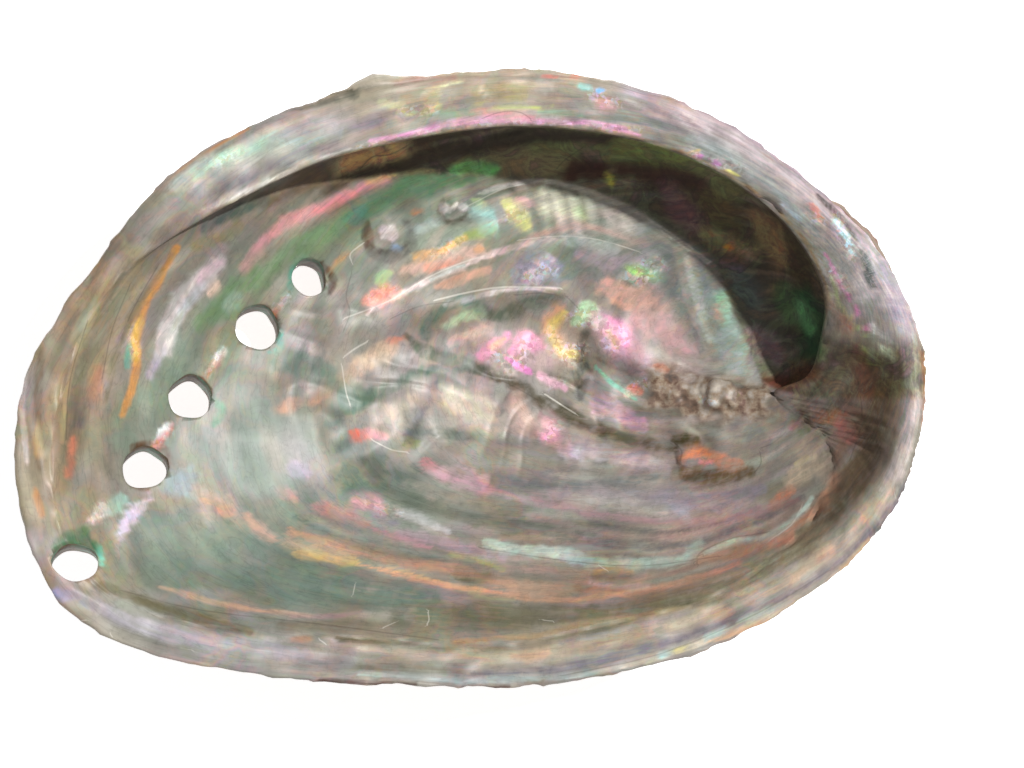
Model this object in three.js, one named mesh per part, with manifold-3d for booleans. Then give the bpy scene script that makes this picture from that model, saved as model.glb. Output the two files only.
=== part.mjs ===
// An abalone shell lying on its back with the hollow side up, in millimetres, +Z up.
// The origin is under the middle of the shell, on the surface that it rests on. +X runs towards
// the spire end and +Y towards the flat inner lip, which collectors call the shelf.
// The wall is one closed surface: at each station round the rim a section runs from the middle
// of the bowl up the inside, round the shelf or the lip, over the rim and down the outside.

import * as THREE from "three";
import { mergeVertices } from "three/addons/utils/BufferGeometryUtils.js";
import Module from "manifold-3d";

const { clamp, degToRad, euclideanModulo, lerp, smoothstep } = THREE.MathUtils;

// Driving sizes
const halfLength = 80;
const height = 40; // rest surface to the rim plane
const floorThickness = 3.8; // shell wall in the middle of the bowl
const wallThickness = 4.4; // side wall below the shelf
const shelfThickness = 2.6; // free edge side of the shelf
const rimStep = 1.1; // depth of one step of the rounded rim
const rimInset = 0.5; // how far the under side of the rim steps in from the outline
const rimSag = 2.6; // how much lower the ends of the rim lie than its middle
const rimDrop = 0.3; // how far the rim's middle lies below the rim plane
const lipInset = 2.2; // how far inside its edge the open bowl's wall starts
const lipDrop = 1.6; // and how far below it
const lipDropUpright = 3.2; // the same where the wall starts upright
const uprightGentleness = [0.55, 0.9]; // gentleness at which the one goes over to the other
const hollowDrop = 4.2; // how far below the shelf's edge the hollow meets the side wall
const hollowDeepest = 9; // the shelf's edge counts as no deeper than this for that
const wornDepth = 1.3; // how much of the crown is worn flat where the shell rests
const crown = new THREE.Vector2(11, 1); // plan place of the deepest point
const apex = new THREE.Vector2(61, 15); // plan place of the spire's tip

// Stations round the rim, from the head end over the shelf side to the spire end and back along
// the outer lip. Each row: bearing from the middle in degrees, outline radius, then the free edge
// of the shelf or the inner edge of the lip as x, y and depth, then the crest as x, y and depth,
// then undercut from 0 (open bowl) to 1 (hollow runs out under the shelf), then how gently the
// wall starts at the rim, from 0.5 (upright) to 1 (sloping).
const stations = [
  [180, 78.2, -71.4, -1.0, 3.4, -75.4, -0.4, 2.8, 0, 0.8],
  [165, 69.9, -63.9, 15.2, 2.8, -66.2, 16.9, 2.2, 0.1, 0.76],
  [150, 64.7, -53.0, 24.4, 1.8, -54.8, 29.8, 1.0, 0.4, 0.7],
  [135, 60.2, -39.5, 32.0, 1.4, -41.4, 39.8, 0.4, 0.8, 0.62],
  [120, 56.1, -26.0, 38.4, 1.2, -27.2, 46.0, 0.2, 1, 0.56],
  [105, 54.2, -12.7, 41.8, 1.2, -13.4, 50.0, 0.2, 1, 0.52],
  [90, 54.0, 0.0, 44.0, 1.2, 0.0, 51.8, 0.2, 1, 0.5],
  [75, 55.9, 13.2, 44.4, 1.2, 13.9, 52.0, 0.2, 1, 0.5],
  [60, 59.1, 27.2, 42.6, 1.4, 28.4, 49.4, 0.3, 1, 0.5],
  [45, 63.4, 40.3, 38.2, 1.8, 43.0, 43.2, 0.3, 1, 0.5],
  [30, 69.2, 53.0, 30.0, 2.6, 57.8, 33.2, 0.3, 1, 0.5],
  [18, 75.0, 60.6, 20.6, 4.2, 68.4, 22.8, 0.4, 1, 0.5],
  [9, 78.6, 63.2, 13.0, 7.6, 72.6, 14.8, 0.8, 1, 0.5],
  [3, 80.0, 62.4, 6.2, 13.0, 75.0, 7.4, 1.6, 0.9, 0.5],
  [-3, 80.3, 59.6, 0.2, 19.0, 76.2, 0.2, 2.4, 0.6, 0.52],
  [-8, 79.9, 55.0, -2.4, 24.0, 75.9, -5.8, 2.6, 0.15, 0.54],
  [-12, 79.0, 62.0, -8.8, 21.0, 74.9, -11.4, 2.6, 0, 0.52],
  [-17, 78.0, 65.2, -15.0, 16.5, 72.0, -17.8, 2.6, 0, 0.54],
  [-23, 75.5, 62.2, -21.4, 11.5, 66.6, -24.0, 2.4, 0, 0.57],
  [-30, 72.0, 55.8, -29.6, 6.2, 59.2, -32.4, 2.0, 0, 0.64],
  [-45, 64.6, 41.2, -38.6, 3.4, 43.8, -42.6, 1.6, 0, 0.82],
  [-60, 58.8, 26.4, -42.4, 3.2, 28.2, -47.4, 1.2, 0, 0.88],
  [-75, 55.4, 13.0, -45.4, 3.2, 13.8, -50.4, 1.0, 0, 0.9],
  [-90, 54.1, 0.0, -46.4, 3.2, 0.0, -51.0, 1.0, 0, 0.92],
  [-105, 55.5, -13.4, -45.6, 3.2, -13.9, -50.4, 1.2, 0, 0.92],
  [-120, 60.8, -28.0, -45.0, 3.4, -29.4, -49.6, 1.6, 0, 0.92],
  [-135, 70.5, -46.6, -43.2, 3.6, -48.4, -46.8, 2.2, 0, 0.9],
  [-150, 81.6, -65.2, -36.6, 3.8, -68.2, -39.2, 2.8, 0, 0.88],
  [-165, 82.3, -73.4, -20.2, 3.6, -76.8, -20.9, 3.0, 0, 0.84],
];

// Open breathing holes from the rim inwards: place in the middle of the wall, long and short
// half axis, turn of the long axis in degrees, and lean in x and y per millimetre of depth.
const holes = [
  { x: -69.9, y: -33.1, z: 32, long: 4.1, short: 3.4, turn: 4, leanX: -0.1, leanY: -0.2 },
  { x: -58.9, y: -16.2, z: 21, long: 4.5, short: 3.7, turn: 31, leanX: -0.18, leanY: -0.22 },
  { x: -51.1, y: -3.4, z: 17, long: 4.2, short: 3.8, turn: 33, leanX: -0.18, leanY: -0.22 },
  { x: -39.4, y: 9.1, z: 12, long: 4.1, short: 3.9, turn: 10, leanX: -0.18, leanY: -0.2 },
  { x: -30.0, y: 18.3, z: 11, long: 3.3, short: 3.2, turn: -50, leanX: -0.2, leanY: -0.2 },
];
// Older holes that the shell has closed with a round blister on the inside.
const healed = [
  { x: -14.8, y: 27.3, radius: 3.0 },
  { x: -3.0, y: 31.6, radius: 2.6 },
  { x: 8.2, y: 34.6, radius: 1.8 },
];
const rowOrigin = [[24, 35.5], [41, 32], [53, 25]]; // where the row comes from, near the spire
const rowRise = 1.3; // height of the ridge that carries the holes, and depth of its groove inside
const rowWidth = 6.5; // half width of that ridge
const funnelDepth = 1; // how far the inside sinks towards each open hole
const funnelWidth = 1.25; // in half axes of the hole
const collarRise = 0.9; // raised rim round each open hole, outside
const collarWidth = 1.8;
const blisterRise = 1.5;
const blisterMoat = 0.7; // depth of the ring round a blister

// Ridges and folds of the muscle scar on the floor, as plan places with a rise and half width.
const folds = [
  { rise: 1.1, width: 3.4, path: [[-22, 9], [-8, 13], [5, 16], [16, 15], [24, 9], [34, 0]] },
  { rise: -0.8, width: 3.6, path: [[-4, 8], [8, 10], [18, 7]] },
  { rise: -1.2, width: 3.6, path: [[-13, 6], [2, 3], [16, -4], [31, -11], [40, -14]] },
  { rise: 0.8, width: 3.8, path: [[-10, -1], [4, -5], [18, -12], [32, -18]] },
];
// Rough lumps that grew on the shell: the crust where the inner lip meets the floor, and a small
// growth on the rim of the shelf.
const lumps = [
  { x: 46, y: -2.5, rise: 1.8, width: 5 },
  { x: -16.5, y: 52.4, rise: 1.7, width: 4.2 },
];

// The back
const ledges = [0.95, 0.87, 0.775, 0.66, 0.53, 0.4]; // main growth halts, as shares of full size
const ledgeHeight = 0.9;
const ledgeWidth = 0.045; // as a share of full size
const ledgeReach = [30, 90]; // the halts fade out where the rim lay this close to the spire
const ledgeSharpness = 8;
const spireRise = 5; // how far the spire stands out of the dome
const spireRadius = 17;
const whorlRise = 3;
const whorlGrowth = 0.3; // natural log of the growth in radius per radian of turn

// Mesh fineness
const stepsRound = 100;
const stepsInside = 17;
const stepsLip = 8;
const stepsOutside = 21;
const plugSides = 18;
const outlineSamples = 720;

// Corner points of a section, as shares of the way from the rim to the crown.
const insideShares = [1, 0.86, 0.7, 0.54, 0.39, 0.26, 0.15, 0.06];
const outsideShares = [0.04, 0.1, 0.18, 0.28, 0.4, 0.53, 0.67, 0.82, 1];
const shelfShares = [0.33, 0.66]; // corner points between the free edge and the crest
const shelfDome = 1.3; // above 1 the shelf swells between its edge and its crest
const slopeDome = 0.6; // the same where the shelf runs down beside the hook
const slopeDepths = [8, 19]; // depths of the free edge where the one goes over to the other
const slopeGentleness = 0.9; // of the floor below that slope

// The four weights of a uniform cubic B-spline at a share f of a span.
const splineWeights = (f) => [
  (1 - f) ** 3 / 6,
  (3 * f ** 3 - 6 * f ** 2 + 4) / 6,
  (-3 * f ** 3 + 3 * f ** 2 + 3 * f + 1) / 6,
  f ** 3 / 6,
];

// Values of a closed cubic curve that passes through every station value.
function closedSpline(values) {
  const n = values.length;
  const correctionPasses = 12;
  let control = [...values];
  for (let pass = 0; pass < correctionPasses; pass++)
    control = control.map((value, i) => {
      const drawn = (control[(i + n - 1) % n] + 4 * value + control[(i + 1) % n]) / 6;
      return value + values[i] - drawn;
    });
  return (t) => {
    const i = Math.floor(t);
    const weights = splineWeights(t - i);
    return weights.reduce((sum, w, k) => sum + w * control[euclideanModulo(i + k - 1, n)], 0);
  };
}

// A point of the cubic curve drawn by a section's corner points, for t from 0 to 1.
function openSpline(points, t) {
  const spans = points.length - 1;
  const i = Math.min(Math.floor(t * spans), spans - 1);
  const mirrored = (end, next) => end.clone().multiplyScalar(2).sub(next);
  const at = (j) => {
    if (j < 0) return mirrored(points[0], points[1]);
    if (j > spans) return mirrored(points[spans], points[spans - 1]);
    return points[j];
  };
  const sum = new THREE.Vector3();
  splineWeights(t * spans - i).forEach((w, k) => sum.addScaledVector(at(i + k - 1), w));
  return sum;
}

const column = (k) => closedSpline(stations.map((row) => row[k]));
const outlineX = closedSpline(stations.map((row) => row[1] * Math.cos(degToRad(row[0]))));
const outlineY = closedSpline(stations.map((row) => row[1] * Math.sin(degToRad(row[0]))));
const [edgeX, edgeY, edgeDepth, crestX, crestY, crestDepth, undercut, gentleness] =
  [2, 3, 4, 5, 6, 7, 8, 9].map(column);

// How deep a wall is at a share of the way from its top to the crown.
const wallShape = (share, gentle) => (1 - (1 - share) ** 2) ** gentle;

// The corner points of the section at t stations from the first.
function section(t) {
  const rim = new THREE.Vector2(outlineX(t), outlineY(t));
  const edge = new THREE.Vector2(edgeX(t), edgeY(t));
  const crest = new THREE.Vector2(crestX(t), crestY(t));
  const hollow = clamp(undercut(t), 0, 1);
  const gentle = gentleness(t);
  const edgeDown = edgeDepth(t);
  const crestDown = crestDepth(t);
  const rimDown = rimDrop + rimSag * (rim.x / halfLength) ** 2;
  const point = (plan, depth) => new THREE.Vector3(plan.x, plan.y, height - depth);
  const towardsCrown = (from, distance) =>
    from.clone().addScaledVector(crown.clone().sub(from).normalize(), distance);

  // Inside, the wall starts under the shelf, or just below the lip where the bowl is open.
  const wallTop = towardsCrown(edge, lipInset).lerp(towardsCrown(rim, wallThickness), hollow);
  const hollowDown = Math.min(edgeDown, hollowDeepest) + hollowDrop;
  const slope = smoothstep(edgeDown, ...slopeDepths);
  const floorGentle = lerp(gentle, slopeGentleness, slope * (1 - hollow));
  const drop = lerp(lipDropUpright, lipDrop, smoothstep(floorGentle, ...uprightGentleness));
  const wallDown = lerp(edgeDown + drop, hollowDown, hollow);
  const floorDown = height - floorThickness;
  const inside = insideShares.map((share) =>
    point(
      wallTop.clone().lerp(crown, share),
      lerp(wallDown, floorDown, wallShape(share, floorGentle)),
    ),
  );

  // A corner that lies on the smooth open lip, or at the given place where a shelf is.
  const lipPoint = (share, plan, depth) =>
    point(wallTop.clone().lerp(edge, share), lerp(wallDown, edgeDown, share))
      .lerp(point(plan, depth), hollow);

  // The ceiling of the hollow, the free edge of the shelf, its face and the rounded rim.
  const ceilingDown = lerp(wallDown, edgeDown + shelfThickness, 0.5);
  const dome = lerp(shelfDome, slopeDome, slope);
  const lip = [
    point(wallTop, wallDown),
    lipPoint(0.25, wallTop.clone().lerp(edge, 0.5), ceilingDown),
    lipPoint(0.5, edge, edgeDown + shelfThickness),
    lipPoint(0.75, towardsCrown(edge, rimInset), edgeDown + shelfThickness / 2),
    point(edge, edgeDown),
    ...shelfShares.map((share) =>
      point(
        edge.clone().lerp(crest, share),
        lerp(edgeDown, crestDown, 1 - (1 - share) ** dome),
      ),
    ),
    point(crest, crestDown),
    point(crest.clone().lerp(rim, 0.6), (crestDown + rimDown) / 2),
    point(rim, rimDown),
    point(rim, rimDown + rimStep),
    point(towardsCrown(rim, rimInset), rimDown + 2 * rimStep),
  ];

  const backTop = towardsCrown(rim, rimInset);
  const backDown = rimDown + 2 * rimStep;
  const outside = outsideShares.map((share) =>
    point(
      backTop.clone().lerp(crown, share),
      lerp(backDown, height + wornDepth, wallShape(share, gentle)),
    ),
  );
  return { inside, lip, outside };
}

// The outline as seen from the spire's tip, in order of bearing.
const outlineAboutApex = Array.from({ length: outlineSamples }, (_, i) => {
  const t = (i / outlineSamples) * stations.length;
  const dx = outlineX(t) - apex.x;
  const dy = outlineY(t) - apex.y;
  return { bearing: Math.atan2(dy, dx), reach: Math.hypot(dx, dy) };
}).sort((a, b) => a.bearing - b.bearing);

// The size of the shell when its rim passed a plan point, from 0 at the spire's tip to 1 at the
// rim, and how far the rim lies from the spire's tip on that side.
function growth(x, y) {
  const bearing = Math.atan2(y - apex.y, x - apex.x);
  const after = outlineAboutApex.findIndex((sample) => sample.bearing > bearing);
  const last = outlineAboutApex.length - 1;
  const a = outlineAboutApex[after > 0 ? after - 1 : last];
  const b = outlineAboutApex[after > 0 ? after : 0];
  const turn = 2 * Math.PI;
  const span = euclideanModulo(b.bearing - a.bearing, turn);
  const share = euclideanModulo(bearing - a.bearing, turn) / span;
  const reach = lerp(a.reach, b.reach, share);
  return { grown: Math.hypot(x - apex.x, y - apex.y) / reach, reach };
}

const bump = (distance, width) => Math.exp(-((distance / width) ** 2));

// Distance from a plan point to a path of plan places.
function pathDistance(x, y, path) {
  let nearest = Infinity;
  for (let i = 1; i < path.length; i++) {
    const [ax, ay] = path[i - 1];
    const dx = path[i][0] - ax;
    const dy = path[i][1] - ay;
    const along = clamp(((x - ax) * dx + (y - ay) * dy) / (dx ** 2 + dy ** 2), 0, 1);
    nearest = Math.min(nearest, Math.hypot(x - ax - along * dx, y - ay - along * dy));
  }
  return nearest;
}

const holeRow = [...[...holes, ...healed].map((mark) => [mark.x, mark.y]), ...rowOrigin];

// Relief of the hollow side: hole groove, flared holes, closed blisters, scar folds and lumps.
function insideRelief(x, y) {
  let rise = -rowRise * bump(pathDistance(x, y, holeRow), rowWidth);
  for (const hole of holes)
    rise -= funnelDepth * bump(Math.hypot(x - hole.x, y - hole.y), hole.long * funnelWidth);
  for (const mark of healed) {
    const away = Math.hypot(x - mark.x, y - mark.y);
    rise += blisterRise * bump(away, mark.radius * 0.75);
    rise -= blisterMoat * bump(away, mark.radius * 1.6);
  }
  for (const fold of folds) rise += fold.rise * bump(pathDistance(x, y, fold.path), fold.width);
  return rise + lumpRelief(x, y);
}

const lumpRelief = (x, y) =>
  lumps.reduce((sum, l) => sum + l.rise * bump(Math.hypot(x - l.x, y - l.y), l.width), 0);

// Relief of the back: hole ridge and collars, growth halts, and the coiled spire.
function outsideRelief(x, y) {
  let rise = rowRise * bump(pathDistance(x, y, holeRow), rowWidth);
  for (const hole of holes)
    rise += collarRise * bump(Math.hypot(x - hole.x, y - hole.y) - hole.long, collarWidth);
  const { grown, reach } = growth(x, y);
  const fullLedge = ledgeHeight * smoothstep(reach, ...ledgeReach);
  for (const halt of ledges) {
    const past = Math.max((halt - grown) / ledgeWidth, 0);
    rise += fullLedge * Math.exp(-past) * (1 - Math.exp(-past * ledgeSharpness));
  }
  const away = Math.hypot(x - apex.x, y - apex.y);
  const windings = Math.log(away / spireRadius + 0.05) / whorlGrowth;
  const whorl = (1 - Math.cos(windings - Math.atan2(y - apex.y, x - apex.x))) / 2;
  return rise + (spireRise + whorlRise * whorl) * bump(away, spireRadius);
}

// The whole surface as rings of points from the inner pole to the outer pole.
function surfaceRings() {
  const corners = Array.from({ length: stepsRound }, (_, i) => {
    const { inside, lip, outside } = section((i / stepsRound) * stations.length);
    return [...inside, ...lip, ...outside];
  });
  const spans = corners[0].length - 1;
  const insideEnd = insideShares.length / spans;
  const lipEnd = (spans - outsideShares.length) / spans;
  const stretch = (from, to, steps) =>
    Array.from({ length: steps }, (_, i) => lerp(from, to, (i + 1) / steps));
  const places = [
    ...stretch(0, insideEnd, stepsInside),
    ...stretch(insideEnd, lipEnd, stepsLip),
    ...stretch(lipEnd, 1, stepsOutside).slice(0, -1),
  ];
  const rings = places.map((place) => corners.map((points) => openSpline(points, place)));
  return { rings, places, insideEnd, lipEnd, start: corners[0][0], end: corners[0][spans] };
}

// Moves each point out along its normal by the relief of its side, and wears the crown flat.
function addRelief({ rings, places, insideEnd, lipEnd, start, end }) {
  const n = stepsRound;
  return rings.map((ring, j) => {
    const insideShare = 1 - smoothstep(places[j], insideEnd * 0.85, insideEnd * 1.05);
    const outsideShare = smoothstep(places[j], lipEnd * 0.97, lipEnd * 1.05);
    return ring.map((p, i) => {
      const around = ring[(i + 1) % n].clone().sub(ring[(i + n - 1) % n]);
      const before = j === 0 ? start : rings[j - 1][i];
      const after = j === rings.length - 1 ? end : rings[j + 1][i];
      const normal = around.cross(after.clone().sub(before)).normalize();
      const rise = insideShare * insideRelief(p.x, p.y) + outsideShare * outsideRelief(p.x, p.y) +
        (1 - insideShare) * (1 - outsideShare) * lumpRelief(p.x, p.y);
      const moved = p.clone().addScaledVector(normal, rise);
      moved.z = Math.max(moved.z, 0);
      return moved;
    });
  });
}

function wallGeometry() {
  const surface = surfaceRings();
  const rings = addRelief(surface);
  const n = stepsRound;
  const innerPole = surface.start;
  const outerPole = new THREE.Vector3(surface.end.x, surface.end.y, 0);
  const points = [innerPole, ...rings.flat(), outerPole];
  const last = points.length - 1;
  const at = (j, i) => 1 + j * n + (i % n);
  const faces = [];
  for (let i = 0; i < n; i++) {
    faces.push(0, at(0, i + 1), at(0, i));
    for (let j = 0; j < rings.length - 1; j++) {
      faces.push(at(j, i), at(j, i + 1), at(j + 1, i));
      faces.push(at(j, i + 1), at(j + 1, i + 1), at(j + 1, i));
    }
    faces.push(last, at(rings.length - 1, i), at(rings.length - 1, i + 1));
  }
  const geometry = new THREE.BufferGeometry().setFromPoints(points);
  geometry.setIndex(faces);
  return geometry;
}

const wasm = await Module();
wasm.setup();

function toSolid(geometry) {
  const weldDistance = 1e-4;
  const bare = geometry.clone();
  bare.deleteAttribute("normal");
  bare.deleteAttribute("uv");
  const merged = mergeVertices(bare, weldDistance);
  return new wasm.Manifold(
    new wasm.Mesh({
      numProp: 3,
      vertProperties: new Float32Array(merged.attributes.position.array),
      triVerts: new Uint32Array(merged.index.array),
    }),
  );
}

function toGeometry(solid) {
  const mesh = solid.getMesh();
  const positions = new Float32Array(mesh.numVert * 3);
  for (let i = 0; i < mesh.numVert; i++)
    for (let k = 0; k < 3; k++)
      positions[3 * i + k] = mesh.vertProperties[i * mesh.numProp + k];
  const geometry = new THREE.BufferGeometry();
  geometry.setAttribute("position", new THREE.BufferAttribute(positions, 3));
  geometry.setIndex(new THREE.BufferAttribute(mesh.triVerts, 1));
  return geometry;
}

// A leaning oval plug through the wall, long enough to pass both of its faces.
function holePlug(hole) {
  const reach = height;
  const plug = new THREE.CylinderGeometry(1, 1, reach, plugSides);
  plug.rotateX(Math.PI / 2);
  plug.scale(hole.long, hole.short, 1);
  plug.rotateZ(degToRad(hole.turn));
  const lean = new THREE.Matrix4().set(
    1, 0, -hole.leanX, hole.x,
    0, 1, -hole.leanY, hole.y,
    0, 0, 1, hole.z,
    0, 0, 0, 1,
  );
  return toSolid(plug.applyMatrix4(lean));
}

function shellMesh() {
  let solid = toSolid(wallGeometry());
  for (const hole of holes) solid = solid.subtract(holePlug(hole));
  const nacre = new THREE.MeshStandardMaterial({
    color: 0xa9a79c,
    roughness: 0.3,
    metalness: 0.2,
  });
  const mesh = new THREE.Mesh(toGeometry(solid), nacre);
  mesh.name = "shell";
  return mesh;
}

const abalone = new THREE.Group();
abalone.add(shellMesh());

export default abalone;
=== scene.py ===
"""An abalone shell lying on its back, hollow side up, on a pale floor.

The shell is one piece. Its wall is rebuilt here, finer than in the CAD model, from the same
sections round the rim, and then gets its growth bands, scar folds, crust and painted nacre.
Lengths are in millimetres until a mesh is made. Marks placed on the shell are given
in pixels of the photograph, which is 1024 by 768, seen straight from above.
"""

import math

import bpy
import numpy as np
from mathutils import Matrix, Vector, kdtree

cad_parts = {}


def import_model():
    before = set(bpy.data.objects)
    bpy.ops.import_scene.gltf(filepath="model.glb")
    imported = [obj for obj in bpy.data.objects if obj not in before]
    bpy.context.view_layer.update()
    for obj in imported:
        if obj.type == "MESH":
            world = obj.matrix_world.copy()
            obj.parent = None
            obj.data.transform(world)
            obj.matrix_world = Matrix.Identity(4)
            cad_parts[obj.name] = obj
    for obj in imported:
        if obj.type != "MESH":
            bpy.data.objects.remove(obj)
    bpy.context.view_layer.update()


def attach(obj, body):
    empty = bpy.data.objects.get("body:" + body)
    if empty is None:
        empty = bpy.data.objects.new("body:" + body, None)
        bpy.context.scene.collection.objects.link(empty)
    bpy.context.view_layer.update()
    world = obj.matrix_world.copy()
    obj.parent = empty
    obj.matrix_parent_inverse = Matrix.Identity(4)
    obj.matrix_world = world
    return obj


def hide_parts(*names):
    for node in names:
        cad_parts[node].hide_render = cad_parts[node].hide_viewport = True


MM = 0.001

# Driving sizes, as in the CAD model
HALF_LENGTH = 80.0
HEIGHT = 40.0  # rest surface to the rim plane
FLOOR_THICKNESS = 3.8  # shell wall in the middle of the bowl
WALL_THICKNESS = 4.4  # side wall below the shelf
SHELF_THICKNESS = 2.6  # free edge side of the shelf
RIM_STEP = 1.1  # depth of one step of the rounded rim
RIM_INSET = 0.5  # how far the under side of the rim steps in from the outline
RIM_SAG = 2.6  # how much lower the ends of the rim lie than its middle
RIM_DROP = 0.3  # how far the rim's middle lies below the rim plane
LIP_INSET = 2.2  # how far inside its edge the open bowl's wall starts
LIP_DROP = 1.6  # and how far below it
LIP_DROP_UPRIGHT = 3.2  # the same where the wall starts upright
HOLLOW_DROP = 4.2  # how far below the shelf's edge the hollow meets the side wall
HOLLOW_DEEPEST = 9.0  # the shelf's edge counts as no deeper than this for that
WORN_DEPTH = 1.3  # how much of the crown is worn flat where the shell rests
CROWN = np.array([11.0, 1.0])  # plan place of the deepest point
APEX = np.array([61.0, 15.0])  # plan place of the spire's tip

# Stations round the rim, from the head end over the shelf side to the spire end and back along
# the outer lip. Each row: bearing in degrees, outline radius, then the free edge of the shelf or
# the inner edge of the lip as x, y and depth, then the crest as x, y and depth, then undercut
# from 0 to 1, then how gently the wall starts at the rim, from 0.5 (upright) to 1 (sloping).
STATIONS = np.array([
    [180, 78.2, -71.4, -1.0, 3.4, -75.4, -0.4, 2.8, 0, 0.8],
    [165, 69.9, -63.9, 15.2, 2.8, -66.2, 16.9, 2.2, 0.1, 0.76],
    [150, 64.7, -53.0, 24.4, 1.8, -54.8, 29.8, 1.0, 0.4, 0.7],
    [135, 60.2, -39.5, 32.0, 1.4, -41.4, 39.8, 0.4, 0.8, 0.62],
    [120, 56.1, -26.0, 38.4, 1.2, -27.2, 46.0, 0.2, 1, 0.56],
    [105, 54.2, -12.7, 41.8, 1.2, -13.4, 50.0, 0.2, 1, 0.52],
    [90, 54.0, 0.0, 44.0, 1.2, 0.0, 51.8, 0.2, 1, 0.5],
    [75, 55.9, 13.2, 44.4, 1.2, 13.9, 52.0, 0.2, 1, 0.5],
    [60, 59.1, 27.2, 42.6, 1.4, 28.4, 49.4, 0.3, 1, 0.5],
    [45, 63.4, 40.3, 38.2, 1.8, 43.0, 43.2, 0.3, 1, 0.5],
    [30, 69.2, 53.0, 30.0, 2.6, 57.8, 33.2, 0.3, 1, 0.5],
    [18, 75.0, 60.6, 20.6, 4.2, 68.4, 22.8, 0.4, 1, 0.5],
    [9, 78.6, 63.2, 13.0, 7.6, 72.6, 14.8, 0.8, 1, 0.5],
    [3, 80.0, 62.4, 6.2, 13.0, 75.0, 7.4, 1.6, 0.9, 0.5],
    [-3, 80.3, 59.6, 0.2, 19.0, 76.2, 0.2, 2.4, 0.6, 0.52],
    [-8, 79.9, 55.0, -2.4, 24.0, 75.9, -5.8, 2.6, 0.15, 0.54],
    [-12, 79.0, 62.0, -8.8, 21.0, 74.9, -11.4, 2.6, 0, 0.52],
    [-17, 78.0, 65.2, -15.0, 16.5, 72.0, -17.8, 2.6, 0, 0.54],
    [-23, 75.5, 62.2, -21.4, 11.5, 66.6, -24.0, 2.4, 0, 0.57],
    [-30, 72.0, 55.8, -29.6, 6.2, 59.2, -32.4, 2.0, 0, 0.64],
    [-45, 64.6, 41.2, -38.6, 3.4, 43.8, -42.6, 1.6, 0, 0.82],
    [-60, 58.8, 26.4, -42.4, 3.2, 28.2, -47.4, 1.2, 0, 0.88],
    [-75, 55.4, 13.0, -45.4, 3.2, 13.8, -50.4, 1.0, 0, 0.9],
    [-90, 54.1, 0.0, -46.4, 3.2, 0.0, -51.0, 1.0, 0, 0.92],
    [-105, 55.5, -13.4, -45.6, 3.2, -13.9, -50.4, 1.2, 0, 0.92],
    [-120, 60.8, -28.0, -45.0, 3.4, -29.4, -49.6, 1.6, 0, 0.92],
    [-135, 70.5, -46.6, -43.2, 3.6, -48.4, -46.8, 2.2, 0, 0.9],
    [-150, 81.6, -65.2, -36.6, 3.8, -68.2, -39.2, 2.8, 0, 0.88],
    [-165, 82.3, -73.4, -20.2, 3.6, -76.8, -20.9, 3.0, 0, 0.84],
])

# Open breathing holes from the rim inwards: x, y and z in the middle of the wall, long and short
# half axis, turn of the long axis in degrees, lean in x and y per millimetre of depth.
HOLES = [
    (-69.9, -33.1, 32, 4.1, 3.4, 4, -0.1, -0.2),
    (-58.9, -16.2, 21, 4.5, 3.7, 31, -0.18, -0.22),
    (-51.1, -3.4, 17, 4.2, 3.8, 33, -0.18, -0.22),
    (-39.4, 9.1, 12, 4.1, 3.9, 10, -0.18, -0.2),
    (-30.0, 18.3, 11, 3.3, 3.2, -50, -0.2, -0.2),
]
# Older holes that the shell has closed with a round blister: x, y and radius.
HEALED = [(-14.8, 27.3, 3.0), (-3.0, 31.6, 2.6), (8.2, 34.6, 1.8)]
ROW_ORIGIN = [(24, 35.5), (41, 32), (53, 25)]  # where the row comes from, near the spire
ROW_RISE = 1.3
ROW_WIDTH = 6.5
FUNNEL_DEPTH = 1.0
FUNNEL_WIDTH = 1.25  # in half axes of the hole
COLLAR_RISE = 0.9
COLLAR_WIDTH = 1.8
BLISTER_RISE = 1.5
BLISTER_WIDTH = 0.75  # in radii, like that of the moat
MOAT_DEPTH = 0.7
MOAT_WIDTH = 1.6

# Ridges and folds of the muscle scar: rise, half width and plan places.
FOLDS = [
    (1.1, 3.4, [(-22, 9), (-8, 13), (5, 16), (16, 15), (24, 9), (34, 0)]),
    (-0.8, 3.6, [(-4, 8), (8, 10), (18, 7)]),
    (-1.2, 3.6, [(-13, 6), (2, 3), (16, -4), (31, -11), (40, -14)]),
    (0.8, 3.8, [(-10, -1), (4, -5), (18, -12), (32, -18)]),
]
# Lumps: x, y, rise and half width, for the crust on the floor and the growth on the rim.
LUMPS = [(46, -2.5, 1.8, 5), (-16.5, 52.4, 1.7, 4.2)]

# The back
LEDGES = [0.95, 0.87, 0.775, 0.66, 0.53, 0.4]  # main growth halts, as shares of full size
LEDGE_HEIGHT = 0.9
LEDGE_WIDTH = 0.045
LEDGE_REACH = (30, 90)
LEDGE_SHARPNESS = 8
SPIRE_RISE = 5.0
SPIRE_RADIUS = 17.0
WHORL_RISE = 3.0
WHORL_GROWTH = 0.3
WHORL_START = 0.05  # keeps the spiral finite at the spire's tip

# Fine relief. A swell is a rise, the size of its waves and a seed.
GROWTH_LENGTH = 78  # the growth from the spire's tip to the rim
GROWTH_BANDS = [  # rise, pitch, wander in radians, and the size and seed of the wander
    (0.08, 3.1, 2.2, 26, 11),
    (0.03, 1.75, 3.1, 17, 12),
]
FLOOR_SWELL = (0.16, 13, 14)
SCAR_SWELL = (0.3, 8, 17)
SCAR_GROOVES = [(0.34, -24, 6.4, 15), (0.26, 64, 5.6, 16)]  # depth, heading in degrees, pitch, seed
GROOVE_WANDER = (1.2, 16)
GROOVE_WIDTH = 0.42
GROOVE_PATCHES = (0.4, 11)
BAND_PATCHES = (0.45, 20, 13)
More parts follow.
